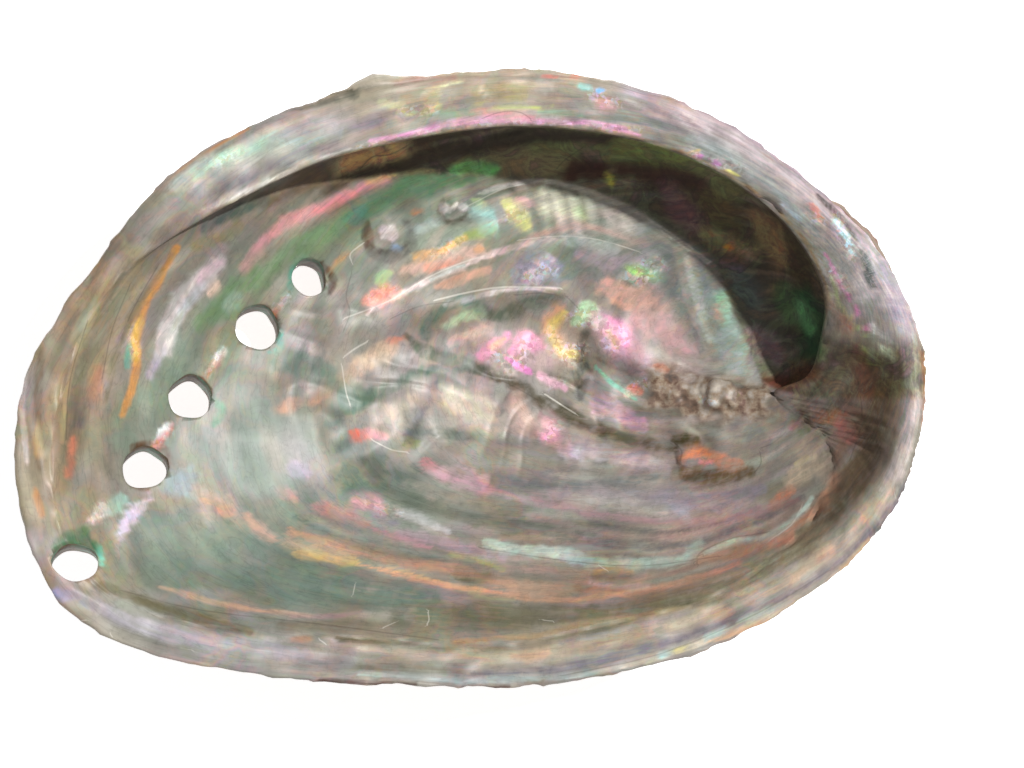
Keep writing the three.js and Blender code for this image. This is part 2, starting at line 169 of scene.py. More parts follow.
# Rough patches: path in pixels, its depth, the swell of its border and where that fades.
SCAR_PATCH = ([(345, 372), (420, 400), (505, 395), (590, 400), (650, 425)], 34, (1.5, 14, 3), (9, 15))
CRUST_PATCH = ([(668, 388), (705, 398), (748, 402)], 30, (1.2, 5, 5), (2.5, 5))
CRUST_RISE = 0.4
CRUST_LUMPS = (0.3, 4.5, 18)
CRUST_GRAIN = (0.12, 2.2, 19)
WRINKLES_PLACE = (575, 206, 20)  # pixels across and down, and depth
WRINKLES_WIDTH = 5
WRINKLES_STRETCH = 1.6  # how much longer than wide the wrinkled patch is
WRINKLE_RISE = 0.28
WRINKLE_PITCH = 2.9
WRINKLE_LEAN = 0.4  # radians per millimetre
CORD_RISE_LIP = 0.13
CORD_PITCH_LIP = 2.6
CORD_WANDER_LIP = (2.5, 24, 21)
LIP_SWELL = (0.16, 7, 22)
EDGE_SWELL = (0.35, 6, 23)
EDGE_SPREAD = 0.02  # along the section
LAMELLA_RISE = 0.28
LAMELLA_PITCH = 1.9
LAMELLA_WANDER = (0.6, 9, 31)
LAMELLA_REACH = (20, 60)
CORD_RISE = 0.30
CORD_COUNT = 52
CORD_WANDER = (0.8, 30, 32)
CORD_REACH = (12, 45)
BACK_SWELL = (0.30, 5, 33)
BACK_GRAIN = (0.14, 1.9, 34)
NICK_DEPTH = 0.32
NICK_COUNTS = (13, 31, 57, 83, 109, 139, 171, 203)  # waves round the rim
NICK_SEED = 41
NICK_RANGE = (0.5, 1)
NICK_FALL = 0.3  # how fast the finer waves get weaker
NICK_SPREAD = 0.035  # along the section

# Mesh fineness
STEPS_ROUND = 500
STEPS_INSIDE = 104
STEPS_LIP = 36
STEPS_OUTSIDE = 36
PLUG_SIDES = 48
PLUG_HALF_HEIGHT = 9.0
PLUG_WOBBLE = [(0.03, 3), (0.02, 5)]  # share of the half axis, waves round the hole
HOLE_FIT = 0.07  # how far off its oval a hole's wall may lie, in half axes
HOLE_UPRIGHT = 0.5  # largest upward part of its normal
CORRECTION_PASSES = 12
OUTLINE_SAMPLES = 1440

# Corner points of a section, as shares of the way from the rim to the crown.
INSIDE_SHARES = [1, 0.86, 0.7, 0.54, 0.39, 0.26, 0.15, 0.06]
OUTSIDE_SHARES = [0.04, 0.1, 0.18, 0.28, 0.4, 0.53, 0.67, 0.82, 1]
SHELF_SHARES = [0.33, 0.66]
LIP_CORNERS = 12  # from the top of the bowl's wall to the start of the back
EDGE_CORNER = 4  # which of them is the top of the free edge
RIM_CORNER = 9  # and which is the rim
RIM_SHOULDER = 0.6  # share of the way from the crest to the rim where the rim rounds over
SHELF_DOME = 1.3
SLOPE_DOME = 0.6  # the same where the shelf runs down beside the hook
SLOPE_DEPTHS = (8, 19)  # depths of the free edge between which the one goes over to the other
SLOPE_GENTLENESS = 0.9  # of the floor below that slope
UPRIGHT_GENTLENESS = (0.55, 0.9)  # between which the lip's drop goes over

# The photograph's camera: straight down, over this plan place, this far above the rim plane.
PHOTO_WIDTH = 1024
PHOTO_HEIGHT = 768
PHOTO_MM_PER_PIXEL = 0.175  # at the rim plane
CAMERA_X = 7.4
CAMERA_Y = -0.9
CAMERA_HEIGHT = 600.0
SENSOR_WIDTH = 36.0
CAMERA_FAR_END = 10  # metres

# The studio
FLOOR_HALF_WIDTH = 1.5  # metres
FLOOR_GLOW = 0.75
SKY_COLOUR = "#f4f6fa"
SKY_STRENGTH = 0.3
SUN_DIRECTION = (0.5, 0.28, 1.0)
SUN_ENERGY = 3.9
SUN_ANGLE = 0.03


# Curves and small formulas


def mix(a, b, share):
    return a + (b - a) * share


def smooth_step(value, start, end):
    t = np.clip((value - start) / (end - start), 0, 1)
    return t * t * (3 - 2 * t)


def bump(distance, width):
    return np.exp(-((distance / width) ** 2))


def spline_weights(f):
    """The four weights of a uniform cubic B-spline at a share f of a span."""
    return (
        (1 - f) ** 3 / 6,
        (3 * f**3 - 6 * f**2 + 4) / 6,
        (-3 * f**3 + 3 * f**2 + 3 * f + 1) / 6,
        f**3 / 6,
    )


def closed_spline(values, t):
    """A closed cubic curve that passes through every station value."""
    control = values.copy()
    for _ in range(CORRECTION_PASSES):
        drawn = (np.roll(control, 1) + 4 * control + np.roll(control, -1)) / 6
        control += values - drawn
    first = np.floor(t).astype(int)
    weights = spline_weights(t - first)
    return sum(w * control[(first + k - 1) % len(values)] for k, w in enumerate(weights))


def open_spline(points, places):
    """Points of the cubic curves drawn by each section's corner points, at places from 0 to 1."""
    spans = len(points) - 1
    before = 2 * points[:1] - points[1:2]
    after = 2 * points[-1:] - points[-2:-1]
    padded = np.concatenate([before, points, after])
    first = np.minimum((places * spans).astype(int), spans - 1)
    f = (places * spans - first)[:, None, None]
    return sum(w * padded[first + k] for k, w in enumerate(spline_weights(f)))


def curve_through(points, steps=6):
    """A smooth path through a few points placed by hand."""
    p = np.array(points, float)
    if len(p) < 3:
        return p
    ends = [2 * p[:1] - p[1:2], p, 2 * p[-1:] - p[-2:-1]]
    p = np.concatenate(ends)
    path = []
    for a, b, c, d in zip(p, p[1:], p[2:], p[3:]):
        for f in np.arange(steps) / steps:
            path.append(0.5 * (2 * b + (c - a) * f + (2 * a - 5 * b + 4 * c - d) * f**2
                               + (3 * b - a - 3 * c + d) * f**3))
    path.append(p[-2])
    return np.array(path)


def path_distance(x, y, path):
    """Distance from plan points to a path, and how far along the path the nearest point lies."""
    nearest = np.full(x.shape, np.inf)
    along = np.zeros(x.shape)
    path = np.array(path, float)
    lengths = np.hypot(*np.diff(path, axis=0).T)
    total = lengths.sum()
    walked = 0.0
    for (ax, ay), (bx, by), length in zip(path, path[1:], lengths):
        dx, dy = bx - ax, by - ay
        f = np.clip(((x - ax) * dx + (y - ay) * dy) / (length**2), 0, 1)
        distance = np.hypot(x - ax - f * dx, y - ay - f * dy)
        closer = distance < nearest
        nearest = np.where(closer, distance, nearest)
        along = np.where(closer, (walked + f * length) / total, along)
        walked += length
    return nearest, along


def waves(x, y, size, seed, count=14):
    """Smooth unevenness from -1 to 1 or so, as a seeded sum of plane waves of about one size."""
    rng = np.random.default_rng(seed)
    total = np.zeros(np.shape(x))
    for _ in range(count):
        heading = rng.uniform(0, 2 * math.pi)
        length = size * rng.uniform(0.6, 1.6)
        phase = rng.uniform(0, 2 * math.pi)
        total += np.sin((x * math.cos(heading) + y * math.sin(heading)) * 2 * math.pi / length + phase)
    return total / math.sqrt(count)


def swell(x, y, rise, size, seed):
    return rise * waves(x, y, size, seed)


def patchy(x, y, share, size, seed):
    """A strength of 1 in patches, down to 1 less twice the share between them."""
    return 1 - share + swell(x, y, share, size, seed)


def ripple(place, pitch, wander):
    return np.sin(place * 2 * math.pi / pitch + wander)


# The wall


def sections(t):
    """Corner points of every section: an array of corners by stations by x, y and z."""
    turn = np.radians(STATIONS[:, 0])
    rim = np.stack([
        closed_spline(STATIONS[:, 1] * np.cos(turn), t),
        closed_spline(STATIONS[:, 1] * np.sin(turn), t),
    ], axis=1)
    columns = [closed_spline(STATIONS[:, k], t) for k in range(2, 10)]
    edge_x, edge_y, edge_down, crest_x, crest_y, crest_down, undercut, gentle = columns
    edge = np.stack([edge_x, edge_y], axis=1)
    crest = np.stack([crest_x, crest_y], axis=1)
    hollow = np.clip(undercut, 0, 1)
    rim_down = RIM_DROP + RIM_SAG * (rim[:, 0] / HALF_LENGTH) ** 2

    def point(plan, depth):
        return np.concatenate([plan, (HEIGHT - depth)[:, None]], axis=1)

    def towards_crown(start, distance):
        away = CROWN - start
        step = away / np.linalg.norm(away, axis=1)[:, None]
        return start + step * np.broadcast_to(distance, len(start))[:, None]

    def wall(share, gentleness):
        return (1 - (1 - share) ** 2) ** gentleness

    wall_top = mix(towards_crown(edge, LIP_INSET), towards_crown(rim, WALL_THICKNESS),
                   hollow[:, None])
    hollow_down = np.minimum(edge_down, HOLLOW_DEEPEST) + HOLLOW_DROP
    slope = smooth_step(edge_down, *SLOPE_DEPTHS)
    floor_gentle = mix(gentle, SLOPE_GENTLENESS, slope * (1 - hollow))
    lip_drop = mix(LIP_DROP_UPRIGHT, LIP_DROP, smooth_step(floor_gentle, *UPRIGHT_GENTLENESS))
    wall_down = mix(edge_down + lip_drop, hollow_down, hollow)
    floor_down = HEIGHT - FLOOR_THICKNESS
    inside = [point(mix(wall_top, CROWN, s), mix(wall_down, floor_down, wall(s, floor_gentle)))
              for s in INSIDE_SHARES]

    ceiling_down = (wall_down + edge_down + SHELF_THICKNESS) / 2

    def lip_point(share, plan, depth):
        """A corner that lies on the smooth open lip, or at the given place where a shelf is."""
        smooth = point(mix(wall_top, edge, share), mix(wall_down, edge_down, share))
        return mix(smooth, point(plan, depth), hollow[:, None])

    lip = [
        point(wall_top, wall_down),
        lip_point(0.25, (wall_top + edge) / 2, ceiling_down),
        lip_point(0.5, edge, edge_down + SHELF_THICKNESS),
        lip_point(0.75, towards_crown(edge, RIM_INSET), edge_down + SHELF_THICKNESS / 2),
        point(edge, edge_down),
    ]
    dome = mix(SHELF_DOME, SLOPE_DOME, slope)
    for s in SHELF_SHARES:
        lip.append(point(mix(edge, crest, s), mix(edge_down, crest_down, 1 - (1 - s) ** dome)))
    back_top = towards_crown(rim, RIM_INSET)
    back_down = rim_down + 2 * RIM_STEP
    lip += [
        point(crest, crest_down),
        point(mix(crest, rim, RIM_SHOULDER), (crest_down + rim_down) / 2),
        point(rim, rim_down),
        point(rim, rim_down + RIM_STEP),
        point(back_top, back_down),
    ]
    outside = [point(mix(back_top, CROWN, s), mix(back_down, HEIGHT + WORN_DEPTH, wall(s, gentle)))
               for s in OUTSIDE_SHARES]
    return np.array(inside + lip + outside), rim


def growth(x, y):
    """Size of the shell when its rim passed a point, from 0 to 1, and the rim's reach there."""
    t = np.arange(OUTLINE_SAMPLES) / OUTLINE_SAMPLES * len(STATIONS)
    _, rim = sections(t)
    away = rim - APEX
    bearing = np.arctan2(away[:, 1], away[:, 0])
    order = np.argsort(bearing)
    reach = np.interp(np.arctan2(y - APEX[1], x - APEX[0]), bearing[order],
                      np.hypot(*away[order].T), period=2 * math.pi)
    return np.hypot(x - APEX[0], y - APEX[1]) / reach, reach


def photo_place(points):
    """Where points of the shell, in millimetres, show in the photograph."""
    scale = PHOTO_MM_PER_PIXEL * (1 + (HEIGHT - points[..., 2]) / CAMERA_HEIGHT)
    across = PHOTO_WIDTH / 2 + (points[..., 0] - CAMERA_X) / scale
    down = PHOTO_HEIGHT / 2 - (points[..., 1] - CAMERA_Y) / scale
    return across, down


# Places along a section, from 0 at the inner pole to 1 at the outer one
CORNER_SPANS = len(INSIDE_SHARES) + LIP_CORNERS + len(OUTSIDE_SHARES) - 1
INSIDE_END = len(INSIDE_SHARES) / CORNER_SPANS
EDGE_PLACE = (len(INSIDE_SHARES) + EDGE_CORNER) / CORNER_SPANS
RIM_PLACE = (len(INSIDE_SHARES) + RIM_CORNER) / CORNER_SPANS
LIP_END = (CORNER_SPANS - len(OUTSIDE_SHARES)) / CORNER_SPANS
# Where one relief goes over to the next
INSIDE_FADE = (INSIDE_END * 0.85, INSIDE_END * 1.05)
OUTSIDE_FADE = (LIP_END * 0.97, LIP_END * 1.05)
EDGE_FADE = (EDGE_PLACE * 0.97, EDGE_PLACE)
SHELF_FADE = (EDGE_PLACE - 0.02, EDGE_PLACE - 0.005)
CRUST_START = RIM_PLACE + 0.012  # from here on the outside has its dull layer


# Relief


def photo_to_plan(across, down, depth=0.0):
    """Plan place, in millimetres, of a point of the photograph at a depth below the rim plane."""
    scale = PHOTO_MM_PER_PIXEL * (1 + depth / CAMERA_HEIGHT)
    x = CAMERA_X + (across - PHOTO_WIDTH / 2) * scale
    y = CAMERA_Y - (down - PHOTO_HEIGHT / 2) * scale
    return x, y


def row_distance(x, y):
    row = [hole[:2] for hole in HOLES] + [place[:2] for place in HEALED] + ROW_ORIGIN
    return path_distance(x, y, row)[0]


def coarse_inside(x, y):
    relief = -ROW_RISE * bump(row_distance(x, y), ROW_WIDTH)
    for hole_x, hole_y, _, long, _, _, _, _ in HOLES:
        relief -= FUNNEL_DEPTH * bump(np.hypot(x - hole_x, y - hole_y), long * FUNNEL_WIDTH)
    for place_x, place_y, radius in HEALED:
        away = np.hypot(x - place_x, y - place_y)
        relief += BLISTER_RISE * bump(away, BLISTER_WIDTH * radius)
        relief -= MOAT_DEPTH * bump(away, MOAT_WIDTH * radius)
    for rise, width, path in FOLDS:
        relief += rise * bump(path_distance(x, y, path)[0], width)
    return relief + lump_relief(x, y)


def lump_relief(x, y):
    return sum(rise * bump(np.hypot(x - lump_x, y - lump_y), width)
               for lump_x, lump_y, rise, width in LUMPS)


def coarse_outside(x, y, grown, reach):
    relief = ROW_RISE * bump(row_distance(x, y), ROW_WIDTH)
    for hole_x, hole_y, _, long, _, _, _, _ in HOLES:
        relief += COLLAR_RISE * bump(np.hypot(x - hole_x, y - hole_y) - long, COLLAR_WIDTH)
    full_ledge = LEDGE_HEIGHT * smooth_step(reach, *LEDGE_REACH)
    for halt in LEDGES:
        past = np.maximum((halt - grown) / LEDGE_WIDTH, 0)
        relief += full_ledge * np.exp(-past) * (1 - np.exp(-past * LEDGE_SHARPNESS))
    away = np.hypot(x - APEX[0], y - APEX[1])
    windings = np.log(away / SPIRE_RADIUS + WHORL_START) / WHORL_GROWTH
    whorl = (1 - np.cos(windings - np.arctan2(y - APEX[1], x - APEX[0]))) / 2
    return relief + (SPIRE_RISE + WHORL_RISE * whorl) * bump(away, SPIRE_RADIUS)


def rough_patch(x, y, path, depth, border, fade):
    """1 near a path that is given in pixels, 0 away from it."""
    plan = [photo_to_plan(*place, depth) for place in path]
    away, _ = path_distance(x, y, plan)
    return 1 - smooth_step(away + swell(x, y, *border), *fade)


def grooves(x, y, turn, pitch, seed):
    """Soft wandering grooves along one heading in degrees, 1 in a groove and 0 between them."""
    heading = math.radians(turn)
    across = -x * math.sin(heading) + y * math.cos(heading)
    phase = across * math.pi / pitch + swell(x, y, *GROOVE_WANDER, seed)
    return bump(np.sin(phase), GROOVE_WIDTH) * patchy(x, y, *GROOVE_PATCHES, seed + 100)


def fine_inside(x, y, grown):
    """The floor's own texture: growth bands, scar folds and cells, corrugations and crust."""
    bands = sum(rise * ripple(grown * GROWTH_LENGTH, pitch, swell(x, y, wander, size, seed))
                for rise, pitch, wander, size, seed in GROWTH_BANDS)
    relief = bands * patchy(x, y, *BAND_PATCHES) + swell(x, y, *FLOOR_SWELL)
    cells = swell(x, y, *SCAR_SWELL)
    for depth, turn, pitch, seed in SCAR_GROOVES:
        cells -= depth * grooves(x, y, turn, pitch, seed)
    relief += rough_patch(x, y, *SCAR_PATCH) * cells
    wrinkle_x, wrinkle_y = photo_to_plan(*WRINKLES_PLACE)
    wrinkled = bump(np.hypot((x - wrinkle_x) / WRINKLES_STRETCH, y - wrinkle_y), WRINKLES_WIDTH)
    relief += WRINKLE_RISE * wrinkled * ripple(x, WRINKLE_PITCH, WRINKLE_LEAN * y)
    lumps = CRUST_RISE + np.abs(swell(x, y, *CRUST_LUMPS)) + swell(x, y, *CRUST_GRAIN)
    return relief + rough_patch(x, y, *CRUST_PATCH) * lumps


def fine_lip(x, y, grown, place):
    """The shelf's top: cords along the rim and a lumpy free edge."""
    cords = ripple(grown * GROWTH_LENGTH, CORD_PITCH_LIP, swell(x, y, *CORD_WANDER_LIP))
    edge = bump(place - EDGE_PLACE, EDGE_SPREAD)
    return CORD_RISE_LIP * cords + swell(x, y, *LIP_SWELL) + edge * swell(x, y, *EDGE_SWELL)


def fine_outside(x, y, grown, reach):
    """The back: thin growth lamellae, low cords that fan out from the spire, and a rough crust."""
    step = ((grown * GROWTH_LENGTH + swell(x, y, *LAMELLA_WANDER)) / LAMELLA_PITCH) % 1
    lamellae = LAMELLA_RISE * smooth_step(reach, *LAMELLA_REACH) * (1 - step) ** 2
    bearing = np.arctan2(y - APEX[1], x - APEX[0])
    cords = CORD_RISE * np.sin(bearing * CORD_COUNT + swell(x, y, *CORD_WANDER))
    cords *= smooth_step(reach * grown, *CORD_REACH)
    return lamellae + cords + swell(x, y, *BACK_SWELL) + swell(x, y, *BACK_GRAIN)


def nicks(t, share):
    """Small losses of the growing edge, in millimetres inwards."""
    turn = t / len(STATIONS) * 2 * math.pi
    rough = np.zeros_like(turn)
    rng = np.random.default_rng(NICK_SEED)
    for count in NICK_COUNTS:
        strength = rng.uniform(*NICK_RANGE) / count**NICK_FALL
        rough += strength * np.sin(count * turn + rng.uniform(0, 2 * math.pi))
    return NICK_DEPTH * rough * share


def surface_grid():
    """The wall as a grid of points: rows from the inner pole to the outer one, by stations."""
    t = np.arange(STEPS_ROUND) / STEPS_ROUND * len(STATIONS)
    corners, _ = sections(t)
    inside = np.linspace(0, INSIDE_END, STEPS_INSIDE, endpoint=False)
    lip = np.linspace(INSIDE_END, LIP_END, STEPS_LIP, endpoint=False)
    outside = np.linspace(LIP_END, 1, STEPS_OUTSIDE, endpoint=False)
    places = np.concatenate([inside[1:], lip, outside])
    grid = open_spline(corners, places)
    place = np.broadcast_to(places[:, None], grid.shape[:2])
    station = np.broadcast_to(t[None, :], grid.shape[:2])
    return grid, place, station


def add_relief(grid, place, station):
    """The grid moved along its normals, with the nicks in its rim and the crown worn flat."""
    x, y = grid[..., 0], grid[..., 1]
    grown, reach = growth(x, y)
    inside_share = 1 - smooth_step(place, *INSIDE_FADE)
    outside_share = smooth_step(place, *OUTSIDE_FADE)
    shelf_share = smooth_step(place, *EDGE_FADE) * (1 - smooth_step(place, RIM_PLACE, LIP_END))
    relief = inside_share * (coarse_inside(x, y) + fine_inside(x, y, grown))
    relief += outside_share * (coarse_outside(x, y, grown, reach) + fine_outside(x, y, grown, reach))
    relief += (1 - inside_share - outside_share) * lump_relief(x, y)
    relief += shelf_share * fine_lip(x, y, grown, place)
    around = np.roll(grid, -1, axis=1) - np.roll(grid, 1, axis=1)
    along = np.gradient(grid, axis=0)
    normal = np.cross(around, along)
    normal /= np.linalg.norm(normal, axis=2)[..., None] + 1e-9
    moved = grid + normal * relief[..., None]
    rim_share = bump(place - RIM_PLACE, NICK_SPREAD)
    inwards = CROWN - moved[..., :2]
    inwards /= np.linalg.norm(inwards, axis=2)[..., None]
    moved[..., :2] += inwards * nicks(station, rim_share)[..., None]
    moved[..., 2] = np.maximum(moved[..., 2], 0)
    return moved


# Meshes


def mesh_from_arrays(name, points, faces):
    mesh = bpy.data.meshes.new(name)
    mesh.from_pydata(points.tolist(), [], faces)
    mesh.validate()
    mesh.update()
    return mesh


def wall_mesh():
    """The closed wall, and what each of its grid points knows about its place."""
    grid, place, station = surface_grid()
    moved = add_relief(grid, place, station)
    rows, columns = place.shape
    inner_pole = moved[0].mean(axis=0)
    outer_pole = np.array([CROWN[0], CROWN[1], 0.0])
    points = np.concatenate([[inner_pole], moved.reshape(-1, 3), [outer_pole]])
    places = np.concatenate([[0.0], place.reshape(-1), [1.0]])
    last = len(points) - 1
    faces = []
    for column in range(columns):
        after = (column + 1) % columns
        faces.append((0, 1 + column, 1 + after))
        for row in range(rows - 1):
            here = 1 + row * columns
            there = here + columns
            faces.append((here + column, there + column, there + after, here + after))
        base = 1 + (rows - 1) * columns
        faces.append((last, base + after, base + column))
    return mesh_from_arrays("shell_wall", points * MM, faces), points, places


def plug_mesh():
    """The leaning oval plugs that open the breathing holes, as one mesh."""
    points = []
    faces = []
    for hole_x, hole_y, hole_z, long, short, turn, lean_x, lean_y in HOLES:
        base = len(points)
        spin = math.radians(turn)
        for rise in (-PLUG_HALF_HEIGHT, PLUG_HALF_HEIGHT):
            for side in range(PLUG_SIDES):
                angle = side / PLUG_SIDES * 2 * math.pi
                wobble = 1 + sum(share * math.sin(count * angle + start) for (share, count), start
                                 in zip(PLUG_WOBBLE, (hole_x, hole_y)))
                a = long * wobble * math.cos(angle)
                b = short * wobble * math.sin(angle)
                points.append((
                    hole_x + a * math.cos(spin) - b * math.sin(spin) - lean_x * rise,
                    hole_y + a * math.sin(spin) + b * math.cos(spin) - lean_y * rise,
                    hole_z + rise,
                ))
        faces.append([base + k for k in reversed(range(PLUG_SIDES))])
        faces.append([base + PLUG_SIDES + k for k in range(PLUG_SIDES)])
        for side in range(PLUG_SIDES):
            after = (side + 1) % PLUG_SIDES
            faces.append((base + side, base + after, base + PLUG_SIDES + after, base + PLUG_SIDES + side))
    return mesh_from_arrays("hole_plugs", np.array(points) * MM, faces)


def object_from(mesh, name):
    piece = bpy.data.objects.new(name, mesh)
    bpy.context.scene.collection.objects.link(piece)
    return piece


def cut_holes(wall, plugs):
    """The wall with the breathing holes cut through it, as a plain mesh."""
    cut = wall.modifiers.new("breathing_holes", "BOOLEAN")
    cut.operation = "DIFFERENCE"
    cut.solver = "EXACT"
    cut.object = plugs
    graph = bpy.context.evaluated_depsgraph_get()
    mesh = bpy.data.meshes.new_from_object(wall.evaluated_get(graph), depsgraph=graph)
    wall.modifiers.clear()
    wall.data = mesh
    bpy.data.objects.remove(plugs)
    return mesh


def read_numbers(items, name, width, kind):
    """One property of every item of a mesh, as an array."""
    values = np.empty(len(items) * width, kind)
    items.foreach_get(name, values)
    return values if width == 1 else values.reshape(-1, width)


def hole_wall_faces(mesh):
    """Which faces line the breathing holes: upright ones on a hole's oval."""
    x, y, z = read_numbers(mesh.polygons, "center", 3, np.float32).astype(float).T / MM
    normals = read_numbers(mesh.polygons, "normal", 3, np.float32)
    upright = np.abs(normals[:, 2]) < HOLE_UPRIGHT
    found = np.zeros(len(x), bool)
    for hole_x, hole_y, hole_z, long, short, turn, lean_x, lean_y in HOLES:
        dx = x - hole_x + lean_x * (z - hole_z)
        dy = y - hole_y + lean_y * (z - hole_z)
        spin = math.radians(turn)
        u = (dx * math.cos(spin) + dy * math.sin(spin)) / long
        v = (dy * math.cos(spin) - dx * math.sin(spin)) / short
        found |= upright & (np.abs(np.hypot(u, v) - 1) < HOLE_FIT)
    return found


def nearest_places(points, known_points, known_places):
    """For each point, the place along the section of the nearest grid point."""
    tree = kdtree.KDTree(len(known_points))
    for index, point in enumerate(known_points):
        tree.insert(Vector(point), index)
    tree.balance()
    found = np.array([tree.find(Vector(point))[1] for point in points])
    return known_places[found]


# Colour


def linear(hex_colour):
    """A colour given in sRGB hex, as linear red, green and blue."""
    parts = [int(hex_colour[k:k + 2], 16) / 255 for k in (1, 3, 5)]
    return np.array([p / 12.92 if p <= 0.04045 else ((p + 0.055) / 1.055) ** 2.4 for p in parts])


GROUND = "#8c867b"
FAR_AWAY = 99.0  # pixels, for what lies nowhere near a line
# A stroke's border, in half widths: how far it is ragged, how softly it fades, and how much of its
# width is left at its ends.
STROKE_RAGGEDNESS = 0.22
STROKE_SOFTNESS = 1.3
STROKE_END_WIDTH = 0.6
RAGGED_SWELLS = [(1, 7, 51), (0.6, 2.6, 52)]
LIGHTEST = 0.9  # of the colours painted in the shade
HOLLOW_SHELF = (0.3, 0.6)  # undercut between which the lip takes the shelf's marks
HOOK_SIDE = (40, 4, 9)  # from this x on the shelf ends between these two y
STREAK_PITCHES = (4.1, 1.7)  # of the first tint's bands, and what each further tint adds
STREAK_WANDER = (1.7, 30)
STREAK_PHASE_STEP = 1.3
STREAK_PATCHES = (0.5, 22)
STREAK_STRENGTH = 0.42
PLAY_SWELL = (0.3, 18, 53)
PLAY_STRENGTH = 0.6
GROWTH_PLACE_SCALE = (0.42, 5)  # noise units per millimetre outwards, and per radian round the spire
FIBRE_PLACE_SCALE = (0.16, 14)


def alike(hex_colour, opacity, half_width, *paths):
    """Strokes of one colour, strength and width along several paths."""
    return [(hex_colour, opacity, half_width, path) for path in paths]


# Marks in the bowl. Each row: colour, strength, half width in pixels and path.
BOWL_BASE = [
    # left wall and head end
    ("#9c9278", 0.9, 46, [(60, 300), (48, 400), (60, 500), (110, 590)]),
    ("#6d6250", 0.8, 16, [(120, 245), (78, 330), (64, 410), (72, 480)]),
    ("#9a8a6d", 0.7, 9, [(100, 262), (62, 340), (50, 420), (56, 490)]),
    ("#7f8c80", 0.9, 60, [(210, 440), (300, 470), (420, 540)]),
    ("#7d8a78", 0.9, 36, [(140, 430), (200, 360), (270, 290), (350, 230), (450, 190)]),
    ("#6e7a63", 0.6, 14, [(230, 330), (324, 239), (395, 197), (472, 169)]),
    ("#718a7c", 0.7, 44, [(140, 540), (220, 570), (300, 580)]),
    ("#7f9080", 0.6, 20, [(160, 420), (200, 340), (250, 290)]),
    ("#6f7468", 0.6, 16, [(345, 452), (380, 468), (415, 480)]),
    ("#b4b0a4", 0.75, 26, [(650, 240), (700, 290), (730, 330)]),
    # upper floor and middle
    ("#92a08e", 0.8, 40, [(440, 230), (520, 225), (600, 220)]),
    ("#7c857c", 0.7, 40, [(600, 260), (700, 260), (760, 320)]),
    ("#9a9690", 0.7, 60, [(380, 380), (480, 400), (600, 400)]),
    ("#d4b4b8", 0.65, 16, [(492, 346), (520, 352), (546, 356)]),
    ("#d8bca4", 0.65, 14, [(560, 322), (566, 348)]),
    ("#d8acbc", 0.65, 15, [(604, 322), (628, 344), (644, 356)]),
    ("#d0b4b0", 0.65, 17, [(640, 312), (664, 332), (690, 354)]),
    ("#c8b4a8", 0.55, 16, [(440, 392), (480, 412), (530, 424)]),
    ("#8a8280", 0.8, 36, [(520, 470), (640, 480), (720, 500)]),
    ("#8c857a", 0.8, 34, [(400, 570), (520, 560), (660, 560), (760, 540)]),
    ("#88826f", 0.8, 22, [(350, 625), (460, 635), (560, 640), (700, 615), (820, 545)]),
    ("#99958c", 0.8, 20, [(100, 610), (250, 650), (450, 672), (620, 655), (740, 625), (850, 550),
                          (890, 500)]),
    # chamber under the shelf: dark browns, painted shade under the shelf
    ("#4b3b2a", 0.9, 30, [(330, 175), (400, 145), (520, 125), (640, 140), (740, 200)]),
    ("#5a5142", 0.8, 30, [(640, 170), (730, 220), (790, 290), (815, 340)]),
    # right wall
    ("#8c8a7e", 0.7, 16, [(90, 600), (160, 630), (260, 655)]),
    ("#b8a69a", 0.7, 20, [(660, 540), (740, 530), (800, 510)]),
    # dark brown down the steep wall under the right rim, partly painted shade
    ("#786a56", 0.95, 17, [(888, 340), (884, 390), (866, 455), (832, 505), (800, 540)]),
    ("#7a5a48", 0.7, 12, [(850, 345), (862, 380), (850, 430), (830, 460)]),
]

